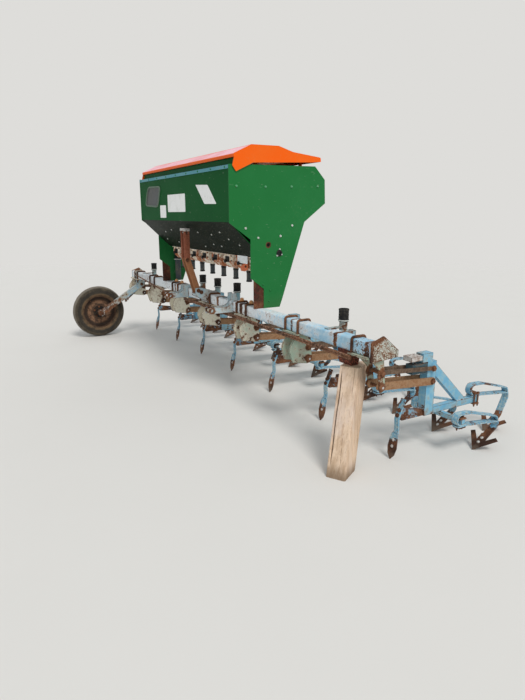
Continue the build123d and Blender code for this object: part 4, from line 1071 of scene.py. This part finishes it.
# Columns: y, height, half the bolt's grip, whether its end is bright in a thick washer
PIVOTS = ((PIVOT_Y, PIVOT_TOP, 53, False), (PIVOT_Y, PIVOT_LOW, 53, True),
          (REAR_PIVOT_Y, PIVOT_TOP - ARM_FALL, 42, False), (REAR_PIVOT_Y, PIVOT_LOW - ARM_FALL, 42, False))
BRIGHT_END = ((0, 0), (0.0075, 0), (0.0075, 0.0125), (0.006, 0.0135), (0, 0.0135))
THICK_WASHER = ((0.008, 0), (0.021, 0), (0.021, 0.006), (0.017, 0.009), (0.0145, 0.0125), (0.008, 0.0125))
pivot_mesh = bmesh.new()
bright_end_mesh = bmesh.new()
for x in GANGS_X:
    for y, z, half, bright in PIVOTS:
        rod(pivot_mesh, [at(x - half, y, z), at(x + half, y, z)], 0.009, 14)
        for side in (-1, 1):
            face = pointing(at(x + side * half, y, z), (side, 0, 0))
            if bright:
                lathe(bright_end_mesh, BRIGHT_END, 16, face)
                lathe(pivot_mesh, THICK_WASHER, 24, face)
            else:
                hexagon(pivot_mesh, face, 0.026, 0.0095, 0.0025)
                if side < 0:
                    thread(pivot_mesh, face, 0.0088, 0.0125)
add_piece("pivot_bolt_set", pivot_mesh, rusty_steel, stands_for=["pivot_bolts"])
add_piece("pivot_bolt_ends", bright_end_mesh, bright_steel)

# Gang welds and clamps: beads where the post, beam and diagonal meet, a screwed stem under
# each cap, bolted plates that hold the springs on their seats, and the bolts of the shares.
GROUND_Z = -720
POST_BACK, POST_FACE, SEAM_TOP, SEAM_LOW = 518.7, 442.7, -441, -478
EAR_OUT, EAR_UNDER, WELD_IN, WELD_WIDE = 48, -51, 15.5, 20.15
CLAMP_THICK = 7
SHARE_BOLT = ((0, 0), (0.010, 0), (0.0095, 0.002), (0.006, 0.0045), (0, 0.0055))
STEM_WASHER = ((0, 0), (0.019, 0), (0.019, 0.004), (0.014, 0.005), (0, 0.005))
# The front tine leans: where it starts, how it falls and comes forward, and which way it faces
TINE_Y, TINE_Z, TINE_FALL, TINE_LEAN = 295, -350, 0.931, 0.366
TINE_WAY = Vector((0, -TINE_FALL, TINE_LEAN))
TINE_BOLTS = (74, 106)
REAR_BOLTS, SIDE_SEAT_BOLTS = ((29, -17), (29, 17), (-29, -17), (-29, 17)), ((0, -22.5), (0, 22.5))
# Columns: x from the gang's middle, y, upper and lower face of the seat, half the plate's width and
# depth, places of its bolts
SPRING_SEATS = ((0, 915, -419.5, -480, 36, 26, REAR_BOLTS),
                (-165, 606, -480, -530.5, 24, 30, SIDE_SEAT_BOLTS),
                (165, 606, -480, -530.5, 24, 30, SIDE_SEAT_BOLTS))
# Columns: x from the gang's middle, y of the share's tip, its pitch in degrees, places up from the tip
SHARES = ((0, 215, 80, (82, 122)), (0, 1060, 35, (66, 104)), (-165, 749, 35, (66, 104)),
          (165, 749, 35, (66, 104)))
gang_weld_mesh = bmesh.new()
stem_mesh = bmesh.new()
clamp_mesh = bmesh.new()
share_bolt_mesh = bmesh.new()


def gang_welds(x):
    """Beads round the post's two sides, along the diagonal and the beam, and on the bracket's ears."""
    weld(gang_weld_mesh, (x - 20, POST_BACK, SEAM_LOW), (x - 20, POST_BACK, SEAM_TOP),
         (x + 20, POST_BACK, SEAM_TOP), (x + 20, POST_BACK, SEAM_LOW))
    weld(gang_weld_mesh, (x - 24, POST_FACE, SEAM_TOP), (x + 24, POST_FACE, SEAM_TOP))
    for way in (-1, 1):
        inner, outer = x + way * WELD_IN, x + way * WELD_WIDE
        weld(gang_weld_mesh, (inner, 519, -156), (inner, 519, -226))
        weld(gang_weld_mesh, (inner, 746, -439.5), (inner, 810, -439.5))
        weld(gang_weld_mesh, (outer, 591, -480.5), (outer, 621, -480.5))
        for toe in (-5, 5):
            ear = x + way * EAR_OUT + toe
            weld(gang_weld_mesh, (ear, -30, EAR_UNDER), (ear, PIVOT_Y, EAR_UNDER))
    weld(gang_weld_mesh, (x - 27, 445, -136.5), (x + 27, 445, -136.5))


def cap_stem(x):
    """The screwed stem on top of a gang's head, and the bolt through the head."""
    foot = pointing(at(x, 345, -141), UP)
    lathe(stem_mesh, STEM_WASHER, 20, foot)
    thread(stem_mesh, foot, 0.0108, 0.022, 0.0028)
    for side in (-1, 1):
        hexagon(stem_mesh, pointing(at(x + side * 28, 372, -171), (side, 0, 0)), 0.018, 0.008, 0.002)


def spring_seat(x, y, top, low, half_x, half_y, bolts):
    """Two bolted plates that hold a spring on its seat, and the rods between them at the rear."""
    outline = metres(rounded(oblong(x - half_x, y - half_y, x + half_x, y + half_y), 5, 3))
    for under in (top, low - CLAMP_THICK):
        plate(clamp_mesh, outline, CLAMP_THICK / 1000, facing(at(0, 0, under), NEAR, BACK), 0.001)
    for bolt_x, bolt_y in bolts:
        bolt_x, bolt_y = x + bolt_x, y + bolt_y
        hexagon(clamp_mesh, pointing(at(bolt_x, bolt_y, top + CLAMP_THICK), UP), 0.013, 0.006)
        nut = pointing(at(bolt_x, bolt_y, low - CLAMP_THICK), DOWN)
        hexagon(clamp_mesh, nut, 0.013, 0.007)
        thread(clamp_mesh, nut, 0.0045, 0.016, 0.0016)
        if bolts is REAR_BOLTS:
            rod(clamp_mesh, [at(bolt_x, bolt_y, low), at(bolt_x, bolt_y, top)], 0.0045, 8)


def share_bolts(x, tip_y, pitch, places):
    """Bolt heads on the upper face of a share, that far up from its tip."""
    slope = math.radians(pitch)
    way = Vector((0, -math.sin(slope), math.cos(slope)))
    for along in places:
        on_share = at(x, tip_y + along * math.cos(slope), along * math.sin(slope) + GROUND_Z) + way * 0.006
        lathe(share_bolt_mesh, SHARE_BOLT, 14, pointing(on_share, way))


for x in GANGS_X:
    gang_welds(x)
    cap_stem(x)
    for along in TINE_BOLTS:
        on_tine = at(x, TINE_Y - TINE_LEAN * along, TINE_Z - TINE_FALL * along) + TINE_WAY * 0.006
        hexagon(clamp_mesh, pointing(on_tine, TINE_WAY), 0.019, 0.008, 0.0025)
    for aside, *seat in SPRING_SEATS:
        spring_seat(x + aside, *seat)
    for aside, *share in SHARES:
        share_bolts(x + aside, *share)
add_piece("gang_welds", gang_weld_mesh, rusty_weld)
add_piece("cap_stems", stem_mesh, rusty_steel)
add_piece("spring_clamps", clamp_mesh, rusty_steel)
add_piece("share_bolt_heads", share_bolt_mesh, bright_steel)

# Gauge wheel: an implement tyre with worn ribs, on a pressed rim that turns on an axle at
# the end of a square arm. The tyre is grey with age, with a painted highlight on its tread
# and painted shade on its wall and in the rim's well, and the rim has rusted.
tyre_low, tyre_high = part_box("wheel_tyre")
WHEEL_AT = (tyre_low + tyre_high) / 2
WHEEL_R = (tyre_high.z - tyre_low.z) / 2


def wheel_reach(finish):
    """Distance from the wheel's axle, as a share of its radius."""
    y, z = finish.axes()[1:]
    return span(y - WHEEL_AT.y, z - WHEEL_AT.z) * (1 / WHEEL_R)


def weathered_rubber():
    """Grey rubber with a painted highlight on its tread, a band of painted shade on its wall and dirt at its
    bead.
    """
    finish = Finish("weathered_rubber")
    reach = wheel_reach(finish)
    fine = finish.noise(90, 5, 0.65)
    broad = finish.noise(11, 4, 0.6, shift=2.0)
    colour = finish.mix((fine * 0.5 + broad * 0.6).rise(0.4, 0.7), rgb(46, 42, 36), rgb(90, 80, 66))
    # Painted highlight: the tread is painted pale where sky light falls on it.
    colour = finish.mix(reach.rise(0.93, 0.98) * 0.75, colour, rgb(136, 128, 116))
    # Painted shade: a dark band on the tyre's wall.
    colour = finish.mix(reach.rise(0.735, 0.765) * reach.rise(0.88, 0.85) * 0.55, colour, rgb(44, 42, 40))
    dirt = reach.rise(0.75, 0.70) * broad.rise(0.3, 0.6)
    colour = finish.mix(dirt * 0.8, colour, rgb(118, 92, 66))
    return finish.paint(fine * 0.7 + broad * 0.3, 0.0009, Base_Color=colour, Roughness=0.86)


def rim_rust():
    """Brown rust, with painted shade in the rim's well, and paler on its disc."""
    finish = Finish("rim_rust")
    reach = wheel_reach(finish)
    grain = finish.noise(200, 4, 0.6, shift=2.2)
    scale = finish.noise(26, 5, 0.65, shift=9.4)
    colour = finish.mix((grain * 0.5 + scale * 0.5).rise(0.38, 0.62), rgb(66, 50, 42), rgb(112, 86, 66))
    # Painted shade: a dark ring in the rim's well.
    colour = finish.mix(reach.rise(0.46, 0.5) * reach.rise(0.61, 0.58) * 0.7, colour, rgb(40, 33, 30))
    disc = reach.rise(0.29, 0.33) * reach.rise(0.47, 0.43) * scale.rise(0.4, 0.55)
    colour = finish.mix(disc, colour, rgb(138, 104, 80))
    return finish.paint(grain * 0.4 + scale * 0.6, 0.0009, Base_Color=colour, Roughness=0.88)


# Half of the tyre's section from the bead to the middle of the tread: offset from the middle, radius
TYRE_HALF = [(57, 192), (62, 196), (64, 202), (66, 210), (69, 224), (70.6, 236), (70.2, 242),
             (68.6, 243), (68.4, 246), (69.8, 248), (68.6, 258), (66.5, 266), (66.5, 270), (63.5, 274),
             (61, 280), (57, 284), (52, 287.5), (47, 289.8), (46, 286), (42, 286.5), (41, 291.5),
             (30, 295), (22, 297), (21, 292), (16, 292.5), (15, 298), (7, 299.6)]
tyre_mesh = bmesh.new()
section = TYRE_HALF + [(-offset, radius) for offset, radius in reversed(TYRE_HALF)]
section += [(-52, 192), (52, 192), (57, 192)]
profile = [(radius / 1000, offset / 1000) for offset, radius in section]
lathe(tyre_mesh, profile, 96, pointing(WHEEL_AT, NEAR))
bmesh.ops.remove_doubles(tyre_mesh, verts=tyre_mesh.verts, dist=0.00005)
for vert in tyre_mesh.verts:
    away = vert.co - WHEEL_AT
    away.x = 0
    if away.length > 0.2:
        vert.co -= away.normalized() * 0.0022 * max(0.0, noise.noise(vert.co * 28 + Vector((5, 0, 0))) + 0.15)
add_piece("ribbed_tyre", tyre_mesh, weathered_rubber(), body="gauge_wheel",
          stands_for=["wheel_tyre"], crease=0.6)
dress(rim_rust(), "wheel_rim")
dress(dull_plastic("hub_black", rgb(34, 30, 28), rgb(96, 74, 54), 0.5, 0.6), "wheel_hub")
dress(rusty_steel, "wheel_axle")

STUDS, STUDS_R, RIVETS, RIVETS_R, VALVE_R, VALVE_TURN = 5, 0.058, 8, 0.135, 0.165, 2.2


def round_wheel(out, radius, turn):
    """A point of the wheel: out from its middle plane, away from its axle, and turned about that."""
    return WHEEL_AT + Vector((out, radius * math.cos(turn), radius * math.sin(turn)))


rim_bolt_mesh = bmesh.new()
for k in range(STUDS):
    stud_at = round_wheel(0.0243, STUDS_R, 2 * math.pi * (k + 0.25) / STUDS)
    hexagon(rim_bolt_mesh, pointing(stud_at, NEAR), 0.017, 0.009, 0.002)
for k in range(RIVETS):
    turn = 2 * math.pi * (k + 0.5) / RIVETS
    lathe(rim_bolt_mesh, [(0, 0), (0.007, 0), (0.006, 0.003), (0, 0.0045)], 12,
          pointing(round_wheel(0.0218, RIVETS_R, turn), (0.9, -0.3 * math.cos(turn), -0.3 * math.sin(turn))))
valve_line = [round_wheel(out, VALVE_R, VALVE_TURN) for out in (0.020, 0.030, 0.046, 0.047, 0.056)]
rod(rim_bolt_mesh, valve_line, [0.0065, 0.006, 0.004, 0.0028, 0.0028], 12)
add_piece("wheel_bolts", rim_bolt_mesh, rusty_steel, body="gauge_wheel")

# Wheel arm: a square tube with a boss for the axle and a pad under the last gang's bracket,
# a strap over the bar, and a threaded screw above it that once set the depth. Both are
# small controls that have rusted fast.
ARM_X, ARM_HALF, ARM_WELD_OUT = -2015, 28, 28.5
SCREW_TOP, SCREW_LOW = at(ARM_X, 44, -100), at(ARM_X, -196, -302)
SCREW_LUGS = ((-178, -287), (28, -113.5))


def arm_marks(finish):
    """The arm is blue at its top and bare near the wheel."""
    return finish.axes()[2].rise(0.58, 0.34) * 0.1


dress(chipped_paint("arm_paint", rgb(146, 186, 208), rgb(196, 190, 170), bare=0.45, worn=0.8,
                    marks=arm_marks), "wheel_arm")
arm_mesh = bmesh.new()
screw_way = (SCREW_TOP - SCREW_LOW).normalized()
thread(arm_mesh, pointing(at(ARM_X, -168, -278.5), screw_way), 0.0090, 0.20, 0.003)
for y, z in SCREW_LUGS:
    for way in (-1, 1):
        lug_face = at(ARM_X, y, z) + screw_way * (0.007 * way)
        hexagon(arm_mesh, pointing(lug_face, screw_way * way), 0.026, 0.010)
for side in (-1, 1):
    hexagon(arm_mesh, pointing(at(ARM_X + side * ARM_HALF, 8, -108), (side, 0, 0)), 0.026, 0.010, 0.003)
for z in (-22, 22):
    hexagon(arm_mesh, pointing(at(ARM_X, -52, z), FRONT), 0.018, 0.008, 0.002)
add_piece("arm_screw_and_bolts", arm_mesh, rusty_steel)
arm_weld_mesh = bmesh.new()
for x in (ARM_X - ARM_WELD_OUT, ARM_X + ARM_WELD_OUT):
    weld(arm_weld_mesh, (x, -48, -63), (x, 48, -63))
    weld(arm_weld_mesh, (x, -455, -365), (x, -437, -397))
add_piece("arm_welds", arm_weld_mesh, rusty_weld)

# Wooden post: a split, sun-dried timber that holds up the near end where the second
# gauge wheel is missing. Long cracks run with the grain, and its foot is dark with earth.
POST_TOP, POST_FOOT = at(1993, 18, -128), at(2126, -160, GROUND_Z)
POST_WIDE, POST_THICK, POST_CORNER, POST_TURN = 0.168, 0.122, 0.014, math.radians(30)
TOP_WEAR, TOP_CHIP = 0.93, 0.004
# Columns: place round the post from 0 to 1, depth, width, lowest and highest reach from 0 to 1
CRACKS = ((0.050, 0.015, 0.0110, 0.08, 0.99), (0.085, 0.005, 0.003, 0.3, 0.9),
          (0.145, 0.004, 0.0028, 0.0, 0.62), (0.185, 0.004, 0.0025, 0.45, 1.1),
          (0.235, 0.008, 0.0060, 0.32, 1.1), (0.305, 0.010, 0.006, 0.5, 1.0),
          (0.36, 0.011, 0.0065, 0.12, 0.6), (0.40, 0.005, 0.003, 0.5, 1.0),
          (0.46, 0.008, 0.005, 0.2, 0.9), (0.565, 0.012, 0.0075, 0.05, 1.1),
          (0.61, 0.005, 0.003, 0.3, 0.8), (0.66, 0.007, 0.005, -0.1, 0.5),
          (0.72, 0.006, 0.0035, 0.4, 1.1), (0.79, 0.011, 0.0065, 0.0, 0.85),
          (0.85, 0.005, 0.003, 0.1, 0.6), (0.915, 0.008, 0.005, 0.4, 1.1))
AROUND, ALONG = 220, 110
post_mesh = bmesh.new()
post_axes = Matrix.Rotation(POST_TURN, 3, "Z").transposed()
half_x, half_y = POST_THICK / 2, POST_WIDE / 2
ring_line = rounded(oblong(-half_x, -half_y, half_x, half_y), POST_CORNER, 6)
ring_runs = [(a, b, (b - a).length) for a, b in zip(ring_line, ring_line[1:] + ring_line[:1])]
girth = sum(run for a, b, run in ring_runs)


def round_post(share):
    """Point on the post's section and the way out there, at that share of its girth."""
    left = (share % 1.0) * girth
    for a, b, run in ring_runs:
        if left <= run:
            point = a.lerp(b, left / run)
            out = Vector((b.y - a.y, a.x - b.x)).normalized()
            return point, out
        left -= run
    return ring_runs[0][0], Vector((0, -1))


def weathered(share, height):
    """How far the wood has worn in there: fibres, hollows, cracks and a chipped top."""
    inward = 0.0012 + 0.0016 * (noise.noise(Vector((share * 46, height * 1.7, 3))) + 0.5)
    inward += 0.0009 * (noise.noise(Vector((share * 130, height * 5.0, 9))) + 0.5)
    inward += 0.0035 * max(0.0, noise.noise(Vector((share * 7, height * 2.2, 14))))
    for place, depth, width, lowest, highest in CRACKS:
        wander = place + 0.012 * noise.noise(Vector((place * 40, height * 3.1, 0)))
        away = abs((share - wander + 0.5) % 1.0 - 0.5) * girth
        ends = max(0.0, min(1.0, (height - lowest) * 6, (highest - height) * 6))
        inward += depth * ends * max(0.0, 1 - (2 * away / (width * (0.35 + 0.65 * ends))) ** 2)
    if height > TOP_WEAR and noise.noise(Vector((share * 9, 0, 21))) > 0.25:
        inward += TOP_CHIP * (height - TOP_WEAR) / (1 - TOP_WEAR)
    return inward


def dry_wood():
    """Pale split wood: fibres along it, painted shade in its cracks, and an earthy foot."""
    finish = Finish("dry_split_wood")
    x, y, z = finish.axes()
    fibre = finish.noise(150, 5, 0.65, stretch=(1, 1, 0.04))
    streaks = finish.noise(34, 4, 0.6, stretch=(1, 1, 0.06), shift=4.0)
    weather = finish.noise(7, 4, 0.6, stretch=(1, 1, 0.5), shift=2.0)
    crack_shade = finish.node("NewGeometry", output="Pointiness").rise(0.485, 0.44)
    colour = finish.mix(streaks.rise(0.35, 0.65), rgb(232, 206, 180), rgb(204, 176, 148))
    colour = finish.mix(fibre.rise(0.5, 0.72) * 0.6, colour, rgb(160, 128, 100))
    colour = finish.mix(weather.rise(0.45, 0.68) * 0.6, colour, rgb(226, 208, 196))
    colour = finish.mix((x + y).rise(BAR_Y + 2.02, BAR_Y + 2.16) * 0.35, colour, rgb(176, 138, 104))
    # Painted shade: the cracks and hollows, where the surface is concave, are painted dark.
    colour = finish.mix(crack_shade * 0.85, colour, rgb(52, 38, 28))
    colour = finish.mix((z + weather * 0.06).rise(0.12, 0.03) * 0.75, colour, rgb(104, 82, 60))
    return finish.paint(fibre * 0.7 + streaks * 0.3, 0.0016, Base_Color=colour, Roughness=0.88)


post_rings = []
for j in range(ALONG + 1):
    height = j / ALONG
    centre = POST_FOOT.lerp(POST_TOP, height)
    ring = []
    for k in range(AROUND):
        point, out = round_post(k / AROUND)
        point = point - out * weathered(k / AROUND, height)
        ring.append(post_mesh.verts.new(centre + post_axes[0] * point.x + post_axes[1] * point.y))
    post_rings.append(ring)
for low, high in zip(post_rings, post_rings[1:]):
    for k in range(AROUND):
        n = (k + 1) % AROUND
        post_mesh.faces.new((low[k], low[n], high[n], high[k]))
for ring, centre in ((post_rings[0], POST_FOOT), (post_rings[-1], POST_TOP)):
    middle = post_mesh.verts.new(centre)
    for k in range(AROUND):
        post_mesh.faces.new((ring[k], ring[(k + 1) % AROUND], middle))
add_piece("split_post", post_mesh, dry_wood(), stands_for=["wooden_post"], crease=0.7)
